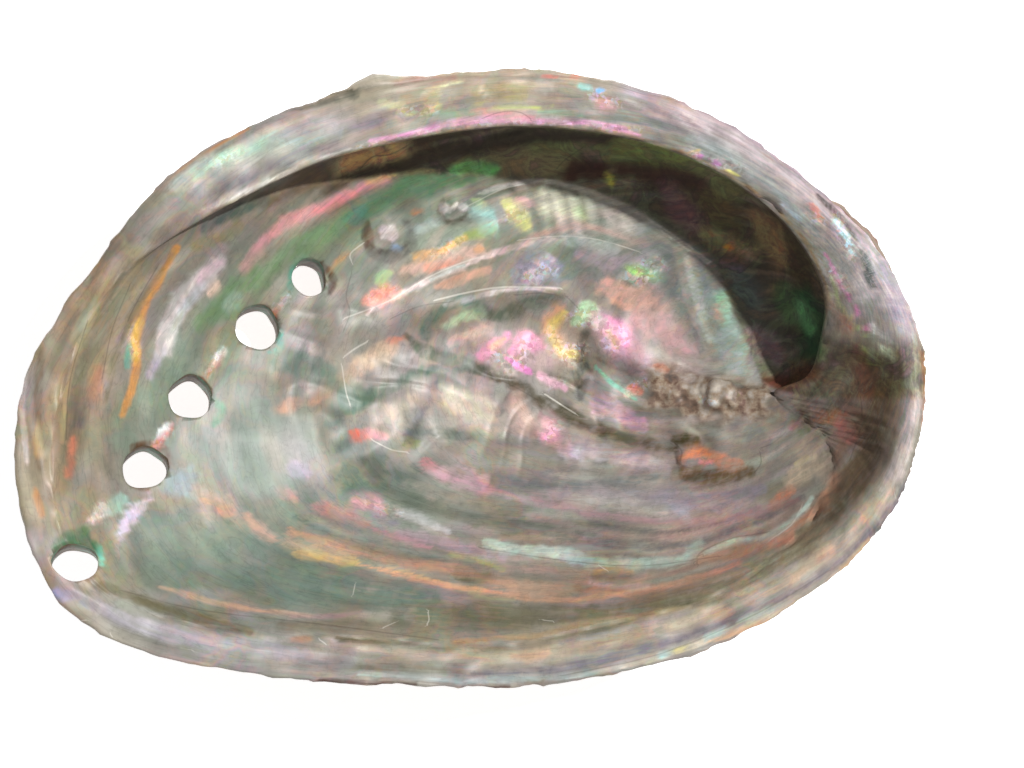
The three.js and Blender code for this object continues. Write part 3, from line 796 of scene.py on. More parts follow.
BOWL_STROKES = [
    # left wall
    ("#4f5f58", 0.9, 6, [(205, 228), (234, 213), (262, 200)]),
    ("#7a6a54", 0.9, 9, [(262, 200), (300, 184), (360, 166)]),
    ("#9c9274", 0.9, 18, [(140, 262), (116, 300), (96, 350), (88, 400)]),
    ("#a4936e", 0.85, 3, [(160, 252), (128, 300), (104, 350), (92, 400)]),
    *alike("#6c6850", 0.85, 3, [(172, 254), (142, 300), (118, 350), (106, 400)],
           [(130, 262), (96, 320), (80, 380), (74, 430)]),
    ("#a4936e", 0.85, 3, [(110, 282), (82, 340), (66, 400), (62, 440)]),
    ("#8a8560", 0.8, 7, [(196, 246), (214, 240), (240, 226)]),
    ("#cf9250", 0.95, 4, [(177, 248), (157, 283), (142, 315), (137, 340), (136, 374), (122, 416)]),
    ("#f6d458", 0.97, 4, [(140, 322), (135, 338), (137, 358)]),
    ("#4fae9c", 0.85, 3, [(129, 345), (127, 366)]),
    ("#cf7a5c", 0.85, 6, [(98, 372), (93, 396)]),
    ("#5c5860", 0.85, 8, [(86, 392), (80, 424)]),
    ("#cb7c62", 0.75, 6, [(73, 440), (70, 474)]),
    ("#d0c8c4", 0.9, 10, [(217, 264), (199, 282), (180, 305), (168, 331), (160, 352)]),
    ("#b8c4d0", 0.85, 4, [(204, 284), (190, 300), (180, 312)]),
    ("#e0b0c4", 0.85, 4, [(222, 262), (208, 270), (200, 280)]),
    *alike("#9a948c", 0.7, 1.5, [(178, 300), (184, 314)], [(186, 292), (193, 306)],
           [(195, 283), (202, 296)], [(204, 273), (212, 286)], [(168, 312), (176, 328)]),
    ("#eac4b2", 0.9, 5, [(218, 284), (210, 294)]),
    ("#e8e8e0", 0.9, 4, [(182, 312), (174, 330), (170, 344)]),
    ("#b9a9c0", 0.8, 6, [(160, 350), (150, 376)]),
    ("#de9ea4", 0.97, 6.5, [(244, 268), (256, 252), (269, 236), (297, 218), (332, 204), (364, 188),
                            (386, 181)]),
    ("#ee8290", 0.9, 3.5, [(316, 212), (346, 198), (372, 186)]),
    ("#9a7c78", 0.85, 3, [(262, 262), (290, 236), (330, 216), (366, 200)]),
    ("#e6ba56", 0.95, 3, [(368, 182), (384, 177), (394, 175)]),
    ("#cfc0a0", 0.9, 2.4, [(390, 174), (412, 170), (440, 170)]),
    ("#6d8a62", 0.9, 13, [(206, 322), (232, 296), (263, 268), (309, 238), (350, 216)]),
    ("#7fa070", 0.8, 5, [(232, 304), (246, 290)]),
    ("#cfc8bf", 0.8, 3.5, [(27, 345), (22, 400), (27, 465)]),
    ("#75664e", 0.8, 5, [(42, 350), (37, 410), (40, 470)]),
    ("#c58a54", 0.8, 4, [(36, 490), (42, 515)]),
    ("#c9a86a", 0.75, 4, [(36, 430), (38, 455)]),
    # holes' surroundings; the white and pale cyan ticks beside them are painted highlights
    ("#4a3626", 0.95, 4, [(322, 264), (332, 278), (330, 294)]),
    ("#5f9a78", 0.85, 4, [(290, 284), (292, 268), (304, 258)]),
    ("#4a3626", 0.95, 4, [(262, 308), (274, 316), (279, 328)]),
    ("#5fb09c", 0.85, 3, [(282, 334), (280, 346), (270, 352)]),
    ("#54402c", 0.95, 4, [(198, 378), (208, 386), (213, 398)]),
    ("#6aa088", 0.8, 5, [(217, 400), (222, 412), (214, 424)]),
    ("#5a4430", 0.95, 4.5, [(134, 448), (150, 444), (166, 452), (170, 466)]),
    ("#6b5036", 0.9, 3, [(128, 480), (136, 488), (150, 490)]),
    ("#3f6a52", 0.95, 6, [(54, 552), (62, 542), (82, 540), (98, 550)]),
    ("#33261c", 0.95, 3, [(56, 556), (76, 549), (94, 556)]),
    ("#9fc8b8", 0.8, 7, [(96, 514), (110, 508), (122, 498)]),
    ("#a8c0b4", 0.8, 6, [(228, 306), (238, 296)]),
    ("#f0e4e0", 0.95, 3.5, [(212, 366), (219, 356), (226, 350)]),
    ("#f0f4ee", 0.95, 3, [(160, 432), (166, 426)]),
    ("#88a0a4", 0.7, 12, [(172, 486), (186, 478), (196, 492)]),
    ("#d0a080", 0.75, 5, [(200, 494), (206, 502)]),
    ("#d0a080", 0.7, 5, [(218, 508), (228, 514)]),
    *alike("#cfa890", 0.7, 5, [(246, 516), (256, 522)], [(262, 532), (274, 538)]),
    ("#c8a890", 0.6, 7, [(286, 544), (316, 550), (350, 556)]),
    ("#587a56", 0.85, 7, [(60, 545), (72, 535), (86, 531)]),
    ("#7fd0c0", 0.8, 3, [(101, 545), (101, 566)]),
    ("#e8d6cf", 0.85, 7, [(93, 520), (103, 508)]),
    ("#d9cfe2", 0.8, 6, [(119, 536), (134, 514), (150, 497)]),
    ("#9a9fc4", 0.7, 6, [(55, 592), (67, 597)]),
    ("#c9553f", 0.8, 3.5, [(150, 452), (160, 440), (172, 426)]),
    ("#d8f0ee", 0.8, 3, [(158, 436), (170, 424)]),
    ("#c9653f", 0.7, 4, [(206, 378), (222, 352)]),
    ("#bfe6ee", 0.75, 3, [(213, 362), (224, 347)]),
    ("#b9604a", 0.7, 4, [(272, 316), (286, 298)]),
    ("#a8d8e8", 0.75, 3, [(279, 307), (288, 296)]),
    ("#c28a55", 0.6, 4, [(332, 268), (348, 252)]),
    ("#8fa9b5", 0.7, 10, [(170, 488), (192, 482)]),
    ("#4f8f8a", 0.7, 4, [(277, 325), (278, 344)]),
    ("#4f9a92", 0.7, 4, [(292, 268), (290, 288)]),
    ("#3c2e22", 0.8, 4, [(316, 268), (323, 280)]),
    # blisters; the white marks on their domes are painted highlights and the blue one a painted glint
    ("#4d4a44", 0.8, 6, [(366, 226), (372, 250), (392, 258), (410, 246), (408, 222)]),
    ("#efdfe4", 0.95, 7, [(384, 230), (391, 236)]),
    ("#8fb6dd", 0.8, 4, [(393, 247), (399, 248)]),
    ("#8a5a3c", 0.7, 5, [(370, 232), (371, 245)]),
    ("#f0ece8", 0.9, 5, [(444, 207), (449, 209)]),
    ("#f0ece8", 0.9, 4.5, [(460, 207), (465, 207)]),
    ("#5a5d52", 0.7, 4, [(436, 220), (455, 225), (474, 219)]),
    ("#d8894f", 0.8, 5, [(412, 213), (420, 211)]),
    # upper floor: the bright facets below the shade, and a painted highlight along its edge
    ("#5f8a68", 0.9, 11, [(354, 214), (384, 196), (424, 184), (470, 176)]),
    ("#4f9088", 0.8, 5, [(350, 220), (362, 210)]),
    ("#bfd2ca", 0.85, 6, [(410, 232), (424, 226), (438, 222)]),
    # painted highlight along the edge of the shade
    ("#ded9d0", 0.9, 3, [(478, 194), (506, 186), (533, 181), (561, 184), (616, 203), (668, 234),
                         (708, 262)]),
    ("#b0dcd2", 0.95, 9, [(478, 210), (488, 218), (494, 228)]),
    ("#c8d49a", 0.9, 5, [(474, 200), (484, 204)]),
    ("#d6da96", 0.95, 9, [(508, 206), (518, 216), (526, 226)]),
    ("#e6b6bc", 0.9, 5, [(518, 200), (530, 204)]),
    ("#c6c8b2", 0.95, 15, [(545, 200), (566, 206), (584, 212)]),
    ("#eceadc", 0.85, 5, [(548, 190), (552, 210)]),
    ("#c4dc9c", 0.9, 5, [(578, 210), (584, 220)]),
    ("#d9c0bc", 0.85, 6, [(560, 222), (584, 226)]),
    ("#bab2aa", 0.9, 14, [(600, 208), (626, 222), (650, 244)]),
    ("#98a868", 0.9, 5, [(459, 240), (478, 233), (495, 231)]),
    ("#e4ac50", 0.95, 4, [(415, 258), (437, 253), (450, 246), (464, 239)]),
    ("#e37c5c", 0.95, 4.5, [(428, 269), (444, 266), (459, 261)]),
    ("#dcb8a8", 0.85, 8, [(404, 270), (440, 262), (480, 250)]),
    ("#e6a056", 0.85, 3, [(476, 250), (482, 249)]),
    # painted highlight along a ridge of the scar
    ("#ecd8d4", 0.95, 3, [(368, 313), (396, 297), (423, 283), (462, 266), (489, 255), (533, 242),
                          (556, 239)]),
    ("#b4ece8", 0.9, 1.8, [(430, 279), (450, 270), (464, 264)]),
    ("#d4a28a", 0.9, 5, [(437, 286), (462, 278), (489, 269)]),
    # painted highlight along a ridge of the scar
    ("#e8dcdc", 0.9, 2.4, [(445, 305), (478, 297), (511, 289), (556, 289)]),
    ("#e08a70", 0.95, 8, [(368, 300), (380, 297), (390, 290)]),
    # painted green glint
    ("#96c27e", 0.9, 6, [(380, 282), (388, 274)]),
    ("#9092a2", 0.95, 14, [(520, 272), (536, 268), (552, 270)]),
    ("#cccbdc", 0.95, 7, [(536, 278), (546, 268), (550, 260)]),
    ("#bc9c92", 0.9, 4, [(500, 253), (524, 241), (550, 231), (589, 226), (644, 244)]),
    ("#aeb6ae", 0.9, 6, [(533, 244), (575, 240), (616, 250)]),
    ("#6d7a6e", 0.85, 5, [(566, 277), (589, 269)]),
    ("#a89aa0", 0.85, 7, [(580, 256), (610, 262), (640, 260)]),
    ("#aee47a", 0.95, 5, [(628, 268), (640, 272)]),
    ("#9ae89c", 0.95, 4.5, [(650, 274), (662, 278)]),
    ("#d9aa9a", 0.9, 11, [(605, 288), (630, 296), (664, 306)]),
    ("#82888a", 0.85, 5, [(640, 226), (650, 270), (660, 300)]),
    ("#767c7c", 0.85, 5, [(668, 248), (678, 290), (692, 330)]),
    ("#80868a", 0.8, 4, [(700, 266), (710, 300), (718, 330)]),
    ("#b9b8b2", 0.8, 5, [(655, 246), (666, 290), (676, 330)]),
    ("#c2c4bc", 0.8, 5, [(686, 258), (698, 300), (708, 340)]),
    ("#b4dec2", 0.9, 6, [(720, 292), (728, 312)]),
    ("#cfa0a4", 0.8, 4, [(714, 312), (720, 318)]),
    ("#9aa29e", 0.85, 13, [(722, 340), (736, 360), (748, 376)]),
    # muscle scar: the dark folds
    ("#677a6c", 0.9, 15, [(285, 362), (320, 372), (345, 392), (335, 420)]),
    ("#56503f", 0.97, 7, [(484, 370), (515, 385), (542, 401), (573, 415), (606, 431), (639, 443),
                          (672, 449)]),
    ("#5a6a59", 0.95, 7, [(412, 345), (432, 354), (451, 363), (484, 371)]),
    ("#587060", 0.9, 8, [(436, 368), (400, 384), (363, 401), (348, 412)]),
    ("#52645a", 0.9, 14, [(345, 452), (375, 466), (410, 474)]),
    ("#6c6a70", 0.9, 5, [(440, 378), (427, 399), (418, 418), (408, 438)]),
    ("#6a6762", 0.85, 3.5, [(510, 394), (500, 416)]),
    ("#746a66", 0.8, 3, [(541, 413), (531, 436)]),
    ("#857f88", 0.75, 3, [(588, 441), (581, 461)]),
    ("#8a8088", 0.7, 3, [(562, 398), (571, 404)]),
    ("#66726a", 0.85, 6, [(413, 430), (450, 434), (492, 437)]),
    ("#8c887e", 0.8, 6, [(440, 447), (480, 452), (529, 461), (611, 473)]),
    ("#5e6556", 0.95, 7, [(480, 309), (500, 315), (529, 303), (560, 297)]),
    ("#60766a", 0.9, 6, [(424, 336), (432, 318), (457, 303), (480, 300)]),
    ("#5c5a52", 0.9, 8, [(584, 336), (583, 362), (580, 396)]),
    ("#454437", 0.9, 5, [(581, 368), (581, 386)]),
    ("#73665a", 0.9, 5, [(598, 358), (625, 369), (667, 385)]),
    ("#6b6f6d", 0.85, 6, [(501, 480), (584, 486), (667, 475)]),
    # muscle scar: the pale and coloured cells between them
    ("#cdb49c", 0.95, 9, [(395, 343), (372, 358), (346, 376)]),
    ("#e07c62", 0.9, 4, [(390, 340), (402, 339)]),
    ("#bcb0a6", 0.9, 11, [(428, 388), (404, 402), (380, 420)]),
    ("#cfc3ac", 0.8, 7, [(412, 400), (388, 416)]),
    ("#d89aa0", 0.8, 6, [(368, 432), (384, 436)]),
    ("#ea6f50", 0.95, 5, [(353, 433), (361, 437)]),
    ("#cfc6ae", 0.95, 14, [(452, 396), (470, 408), (490, 420)]),
    ("#b9b8a4", 0.8, 8, [(470, 428), (500, 432)]),
    ("#d0b2a6", 0.9, 11, [(516, 404), (524, 420), (534, 426)]),
    ("#dca9b2", 0.9, 10, [(545, 424), (556, 440), (562, 448)]),
    ("#ee90c2", 0.95, 6, [(545, 436), (556, 436)]),
    ("#d3c8d6", 0.9, 7, [(560, 452), (576, 454)]),
    ("#b9aeb2", 0.85, 9, [(594, 452), (626, 458), (664, 466)]),
    ("#8a9058", 0.85, 5, [(405, 446), (416, 444)]),
    ("#d8888a", 0.9, 5, [(425, 462), (433, 466)]),
    ("#cdabb0", 0.9, 9, [(438, 472), (462, 478), (484, 482)]),
    ("#d0a0ac", 0.8, 6, [(446, 478), (474, 486), (500, 492)]),
    ("#c0a4a8", 0.7, 5, [(506, 494), (540, 502), (580, 506)]),
    ("#b8cfae", 0.85, 6, [(446, 326), (462, 318), (480, 312)]),
    ("#ccb2aa", 0.8, 6, [(452, 342), (474, 332), (490, 330)]),
    ("#eea6c8", 0.95, 6, [(482, 356), (495, 345), (508, 336)]),
    ("#f2dc66", 0.95, 2.6, [(492, 348), (504, 339)]),
    ("#f0a6c6", 0.95, 8, [(512, 352), (526, 340), (538, 344)]),
    ("#ee86ce", 0.95, 3.5, [(507, 358), (518, 366), (530, 372)]),
    ("#e8b8c8", 0.9, 6, [(540, 376), (552, 382), (564, 388)]),
    ("#d9a67c", 0.9, 9, [(562, 312), (552, 332), (562, 350)]),
    ("#f4e874", 0.95, 4, [(566, 312), (553, 326), (553, 338), (560, 350), (573, 354)]),
    ("#a9cfa6", 0.9, 7, [(574, 322), (588, 310), (598, 322)]),
    ("#f09cc4", 0.95, 10, [(606, 322), (618, 328), (624, 342)]),
    ("#f4dd62", 0.95, 2.6, [(609, 332), (617, 346)]),
    ("#dca884", 0.9, 7, [(616, 302), (634, 306)]),
    ("#c2a6b6", 0.85, 9, [(606, 352), (626, 358), (640, 366)]),
    ("#d2acae", 0.9, 12, [(642, 318), (662, 330), (684, 350)]),
    ("#8accb2", 0.95, 2.4, [(595, 366), (611, 382), (636, 399)]),
    ("#e28a78", 0.95, 5, [(630, 388), (640, 392)]),
    ("#e2937c", 0.9, 4, [(656, 366), (666, 370)]),
    ("#c6a6ba", 0.9, 9, [(594, 402), (614, 412), (640, 424)]),
    ("#e9d0da", 0.9, 4, [(594, 412), (602, 416)]),
    ("#6d7874", 0.85, 5, [(664, 280), (676, 300), (690, 326)]),
    ("#6d7874", 0.8, 5, [(690, 330), (700, 350)]),
    ("#cf9aa4", 0.8, 6, [(358, 508), (380, 500)]),
    # right floor: around the crust and the chip
    ("#7f7a76", 0.85, 13, [(735, 424), (748, 432), (758, 444)]),
    ("#b8a0a0", 0.9, 4, [(744, 402), (745, 416)]),
    ("#4a4426", 0.97, 5, [(674, 440), (684, 440), (696, 442)]),
    ("#2e2218", 0.97, 3, [(676, 445), (678, 463)]),
    ("#5f503a", 0.95, 9, [(684, 474), (712, 478), (748, 472)]),
    ("#d09070", 0.85, 6, [(683, 458), (696, 452), (708, 453), (728, 463), (740, 463)]),
    ("#e88a58", 0.9, 2.6, [(690, 455), (700, 452), (710, 454)]),
    ("#e69ca0", 0.85, 3, [(700, 462), (710, 462)]),
    ("#a09484", 0.85, 13, [(800, 446), (816, 458), (826, 472)]),
    ("#b4a470", 0.9, 4, [(797, 464), (807, 459)]),
    # floor beside the shade
    ("#7c8484", 0.85, 6, [(650, 232), (662, 266), (684, 306)]),
    ("#a8c4b4", 0.9, 8, [(716, 296), (730, 326), (744, 348)]),
    ("#e0a090", 0.9, 1.8, [(716, 304), (717, 318)]),
    ("#a8e0a8", 0.9, 2.4, [(718, 294), (720, 304)]),
    ("#d0a8a0", 0.7, 14, [(632, 300), (660, 324), (680, 346)]),
    # right slope between the hook and the rim
    ("#80756a", 0.9, 12, [(838, 352), (826, 384), (806, 414)]),
    ("#5a5348", 0.85, 4, [(832, 356), (820, 386), (798, 412)]),
    ("#9a9088", 0.8, 3, [(838, 366), (828, 394), (810, 418)]),
    # painted shadow of the hook's end on the slope
    ("#54493c", 0.9, 6, [(796, 424), (822, 414), (852, 394)]),
    ("#a86058", 0.95, 3.5, [(849, 328), (864, 360), (867, 390), (864, 405)]),
    ("#8f7068", 0.85, 8, [(852, 350), (858, 380), (852, 410)]),
    ("#aab678", 0.95, 3, [(862, 344), (870, 364)]),
    # painted highlight: the glare on the ridge at the spire end
    ("#dce6dc", 0.97, 6, [(874, 338), (882, 346), (890, 356)]),
    ("#c47c50", 0.95, 5, [(822, 421), (837, 415)]),
    ("#a87068", 0.9, 8, [(840, 424), (850, 440)]),
    ("#bc848c", 0.9, 4, [(790, 428), (797, 426)]),
    ("#748060", 0.85, 5, [(800, 432), (808, 430)]),
    # dark browns down the steep wall under the rim, partly painted shade
    ("#6b5a46", 0.95, 9, [(878, 380), (872, 420), (858, 462), (836, 496)]),
    ("#665a46", 0.9, 8, [(889, 358), (888, 392), (880, 433), (864, 474), (832, 518)]),
    ("#c4bab4", 0.95, 8, [(908, 340), (914, 380), (912, 420), (900, 462), (886, 490)]),
    ("#9a9298", 0.85, 2.5, [(904, 350), (908, 390), (904, 440)]),
    ("#bc7846", 0.95, 2.4, [(922, 352), (925, 406), (921, 440)]),
    # left floor, below the hole row
    ("#c99a80", 0.7, 8, [(280, 409), (296, 401)]),
    ("#c99a80", 0.7, 7, [(312, 402), (326, 394)]),
    *alike("#c9a394", 0.7, 6, [(198, 489), (212, 496), (232, 510)], [(250, 517), (270, 540)]),
    ("#c79a90", 0.6, 6, [(280, 490), (296, 498)]),
    ("#b5a9be", 0.7, 8, [(290, 466), (306, 474)]),
    # lower floor: lilac and pink bands next to the muscle scar
    ("#566a5a", 0.8, 10, [(350, 486), (380, 490), (420, 496)]),
    ("#6a6f62", 0.9, 9, [(375, 488), (445, 510), (520, 524), (600, 533), (650, 535)]),
    ("#8f8890", 0.85, 9, [(560, 497), (640, 499), (716, 498), (762, 489)]),
    ("#bdb6a8", 0.85, 7, [(570, 500), (608, 502), (636, 508), (664, 512)]),
    ("#a8acb4", 0.8, 6, [(674, 505), (686, 516)]),
    ("#b3a5a2", 0.85, 8, [(706, 503), (724, 506), (740, 502)]),
    ("#a8898c", 0.85, 4.5, [(532, 500), (590, 513), (658, 521), (716, 520), (762, 509)]),
    ("#b59a94", 0.8, 3, [(529, 518), (569, 524), (619, 535), (687, 536), (730, 524), (780, 506)]),
    ("#6c6466", 0.85, 3, [(590, 524), (640, 530), (675, 532), (722, 523)]),
    ("#7a7272", 0.9, 4.5, [(503, 526), (561, 536), (610, 544), (687, 544), (716, 536), (762, 518),
                           (803, 497)]),
    ("#dcaab2", 0.85, 7, [(355, 500), (370, 504), (381, 509)]),
    ("#b98f86", 0.85, 7, [(317, 506), (352, 517), (366, 524)]),
    ("#8b8290", 0.8, 7, [(375, 515), (396, 523)]),
    ("#bfc0be", 0.85, 4, [(398, 512), (422, 520), (450, 532)]),
    ("#ae9aa2", 0.85, 6, [(398, 533), (436, 541), (474, 551), (503, 555)]),
    ("#c9909a", 0.7, 4, [(372, 528), (400, 538), (430, 548)]),
    ("#5f6f66", 0.9, 4, [(296, 518), (335, 535), (387, 549), (439, 558), (474, 561)]),
    ("#9aa79c", 0.7, 2, [(310, 522), (350, 536), (400, 549), (450, 558)]),
    ("#aeae70", 0.85, 2.5, [(451, 554), (480, 561), (503, 570)]),
    # lower floor: the mint band and the crack with its raised lip
    ("#b2c6b8", 0.95, 6, [(485, 541), (520, 551), (561, 553), (607, 563), (659, 564), (684, 558),
                          (698, 548)]),
    ("#dcead8", 0.85, 4, [(490, 545), (506, 549)]),
    ("#d4e2d8", 0.8, 4, [(540, 552), (566, 553)]),
    ("#a8b0c2", 0.8, 4, [(560, 558), (592, 562)]),
    ("#c9c3ae", 0.8, 4, [(610, 565), (640, 566)]),
    ("#a38c80", 0.85, 4.5, [(503, 567), (561, 571), (619, 576), (664, 574), (694, 566)]),
    ("#c2d6ca", 0.95, 3, [(706, 552), (734, 541), (768, 536), (800, 513), (812, 498)]),
    # lower floor: the rust and orange bands
    ("#b8967e", 0.95, 6, [(292, 532), (323, 541), (370, 552), (416, 564), (462, 570), (486, 580)]),
    ("#cc9880", 0.85, 4, [(412, 562), (440, 568), (470, 572)]),
    ("#cdb674", 0.95, 5, [(296, 554), (329, 558), (358, 563)]),
    ("#7c9a7c", 0.75, 4, [(296, 567), (330, 570)]),
    ("#aa8e78", 0.95, 7, [(485, 579), (532, 589), (578, 588), (620, 591), (659, 589), (700, 578)]),
    ("#dcaa8a", 0.95, 3.0, [(358, 564), (404, 576), (451, 586), (485, 591), (520, 597), (561, 600),
                            (601, 597), (659, 588)]),
    ("#e4c08c", 0.9, 1.8, [(387, 567), (414, 575), (439, 582)]),
    ("#d49680", 0.9, 3.5, [(646, 590), (672, 586), (698, 578), (739, 564)]),
    ("#bc8a70", 0.9, 4, [(590, 583), (640, 590), (690, 582)]),
    ("#cbbfc2", 0.9, 2, [(590, 581), (619, 587), (648, 586)]),
    ("#4f5640", 0.95, 6, [(458, 575), (472, 577), (488, 576)]),
    ("#5c5842", 0.95, 3.5, [(594, 577), (612, 578), (630, 577)]),
    ("#cf9c5c", 0.9, 2.6, [(596, 571), (614, 569), (632, 572)]),
    ("#8a6048", 0.9, 4, [(577, 588), (585, 588)]),
    ("#abb392", 0.85, 3, [(470, 594), (494, 598), (514, 600)]),
    ("#b48c76", 0.95, 7, [(701, 558), (745, 550), (774, 541), (791, 531)]),
    ("#c67c6a", 0.9, 5, [(772, 545), (784, 541), (792, 537)]),
    ("#ba8a70", 0.95, 5, [(791, 529), (814, 512), (829, 492), (835, 478)]),
    ("#cb8a6c", 0.9, 6, [(774, 502), (784, 496), (792, 491)]),
    ("#c0af96", 0.9, 9, [(790, 482), (802, 474), (814, 466)]),
    ("#b58484", 0.8, 3, [(762, 509), (797, 500)]),
    # lower floor: the flat green and olive fields and the bands to the rim
    ("#6d7f74", 0.95, 15, [(250, 575), (310, 588), (360, 594), (430, 604)]),
    ("#73705a", 0.9, 11, [(400, 618), (445, 612), (540, 616), (620, 612), (680, 602)]),
    ("#857a62", 0.9, 9, [(640, 602), (690, 592), (740, 578), (775, 562), (800, 548), (822, 526)]),
    ("#55543e", 0.9, 5, [(620, 612), (660, 608), (700, 602), (727, 599)]),
    ("#ab8f8f", 0.85, 2.6, [(290, 616), (335, 616), (361, 612)]),
    ("#777060", 0.8, 6, [(280, 626), (330, 627), (370, 626)]),
    ("#b08c76", 0.8, 4, [(290, 640), (312, 639)]),
    ("#a48e6c", 0.9, 3, [(456, 642), (503, 638), (537, 636), (578, 625), (659, 612), (690, 608)]),
    ("#66614c", 0.9, 3.5, [(338, 639), (401, 645), (462, 651), (532, 645), (590, 633), (659, 621),
                           (700, 612)]),
    ("#b3a792", 0.95, 8, [(362, 651), (396, 654), (456, 659), (503, 657), (549, 651), (600, 642),
                          (658, 627), (701, 616), (745, 600), (780, 584), (809, 565), (832, 550),
                          (861, 521), (890, 492)]),
    ("#b9b2a8", 0.85, 5, [(362, 650), (396, 652), (440, 655)]),
    ("#cf9f80", 0.85, 4, [(515, 657), (530, 658), (548, 653)]),
    ("#a198a0", 0.8, 2.6, [(560, 643), (620, 630), (690, 612)]),
    *alike("#d09c7e", 0.9, 3.5, [(716, 617), (734, 611)], [(794, 580), (806, 572)],
           [(820, 560), (832, 550)], [(856, 527), (866, 517)]),
    ("#d09c7e", 0.85, 3.5, [(886, 498), (894, 490)]),
    ("#76725e", 0.95, 6, [(300, 662), (370, 665), (416, 668), (462, 672)]),
    ("#706a72", 0.97, 6.5, [(455, 672), (503, 674), (549, 671), (600, 660), (629, 652), (672, 642),
                            (716, 626), (762, 608), (803, 590), (832, 568), (861, 545), (890, 512),
                            (907, 486)]),
    ("#a9b8b4", 0.9, 3, [(358, 674), (416, 677), (462, 681), (503, 680), (561, 677), (590, 673),
                         (643, 660)]),
    ("#cbc3aa", 0.95, 3.5, [(600, 671), (643, 661), (664, 655), (687, 648), (716, 637), (759, 622),
                            (785, 606), (820, 584), (846, 565), (869, 542)]),
    ("#8fe6ea", 0.95, 2.4, [(662, 656), (672, 652)]),
    ("#efe27a", 0.95, 2.4, [(672, 652), (684, 648)]),
    ("#8fdede", 0.95, 2.4, [(706, 638), (722, 631)]),
    ("#b6dcc8", 0.9, 2.6, [(740, 621), (762, 613), (782, 605)]),
    ("#d5a472", 0.9, 2.2, [(708, 642), (736, 633), (764, 623)]),
    ("#d5a472", 0.8, 2.2, [(842, 568), (856, 556), (874, 537)]),
    ("#4e352c", 0.9, 2.6, [(317, 680), (350, 682), (416, 684)]),
    ("#4e352c", 0.85, 2.4, [(462, 687), (486, 688), (508, 686)]),
    ("#a7a2a8", 0.85, 8, [(70, 592), (120, 618), (200, 640), (350, 662)]),
    ("#716a50", 0.85, 6, [(100, 585), (170, 610), (250, 632)]),
    ("#c8a890", 0.8, 3, [(160, 587), (235, 607), (310, 615)]),
    # the moats and tops of the healed holes; the pale marks on the tops are painted highlights
    ("#4c4638", 0.97, 3.2, [(368, 224), (365, 238), (374, 249), (390, 252), (405, 245), (411, 231)]),
    ("#f2eee4", 0.97, 3.4, [(383, 238), (391, 229)]),
    ("#545040", 0.95, 2.8, [(443, 200), (440, 212), (447, 221), (459, 220), (469, 210)]),
    ("#ece8dc", 0.95, 2.8, [(450, 211), (457, 204)]),
    # the grooves between the folds of the scar
    ("#56584a", 0.9, 5, [(405, 336), (425, 350), (441, 361), (468, 367), (496, 373)]),
    ("#6a6456", 0.85, 4, [(598, 352), (620, 360), (645, 372), (668, 388)]),
    ("#68726a", 0.8, 7, [(652, 234), (668, 262), (678, 300), (692, 338)]),
    ("#5c645a", 0.7, 12, [(336, 476), (366, 470), (402, 464)]),
]

# Marks in the shade under the shelf, with the colours that they show there. All are made lighter below, but
# the darkest stay dark, as painted shade in the hollow under the shelf.
CHAMBER_SHADE_STROKES = [
    ("#6f6350", 0.95, 14, [(330, 172), (370, 162), (400, 152)]),
    ("#57503f", 0.9, 12, [(464, 168), (520, 162), (575, 163)]),
    ("#4c523a", 0.9, 13, [(540, 140), (600, 145), (672, 158), (730, 190)]),
    ("#4f7058", 0.9, 6, [(452, 172), (470, 167), (495, 168)]),
    ("#1d1812", 0.97, 6, [(340, 181), (395, 167), (450, 153), (517, 138), (561, 136), (616, 141)]),
    ("#27120e", 0.97, 9, [(567, 178), (580, 168), (602, 170)]),
    ("#241410", 0.97, 9, [(622, 170), (660, 172), (700, 184)]),
    ("#4f5a38", 0.9, 9, [(620, 148), (660, 150), (699, 160)]),
    ("#4e3a42", 0.9, 11, [(668, 192), (684, 212), (696, 228)]),
    ("#6a6838", 0.85, 3.5, [(607, 174), (612, 184)]),
    ("#2c2418", 0.95, 14, [(774, 206), (792, 246), (806, 284)]),
    ("#3b3424", 0.9, 12, [(708, 196), (726, 226), (740, 262)]),
    ("#5f5a44", 0.9, 8, [(706, 232), (730, 244), (752, 256)]),
    ("#8a6028", 0.9, 2.4, [(726, 246), (733, 248)]),
    ("#3c4044", 0.9, 10, [(738, 272), (752, 300)]),
    ("#5c4c3c", 0.9, 9, [(756, 214), (772, 236), (780, 262)]),
    ("#5a4a54", 0.9, 8, [(750, 330), (768, 344), (778, 362)]),
    ("#16331f", 0.97, 11, [(804, 296), (812, 322), (813, 350)]),
    ("#3f6048", 0.95, 7, [(800, 304), (812, 330)]),
    ("#33452f", 0.85, 8, [(782, 290), (788, 318)]),
    ("#3a2418", 0.97, 10, [(772, 384), (792, 378), (812, 374)]),
]
# Where the shade ends on the floor, as pixels across and down.
SHADE_EDGE = [(330, 183), (430, 176), (500, 179), (560, 181), (620, 200), (672, 231), (713, 258),
              (740, 330), (763, 385), (800, 400), (860, 400)]
SHADE_FADE = (-5, 2)  # pixels past that edge over which it fades
SHADE_START = (322, 345)  # pixels across over which it begins at the head end
SHADE_LIGHT = 0.2  # light in the shade, as a share of the open floor's
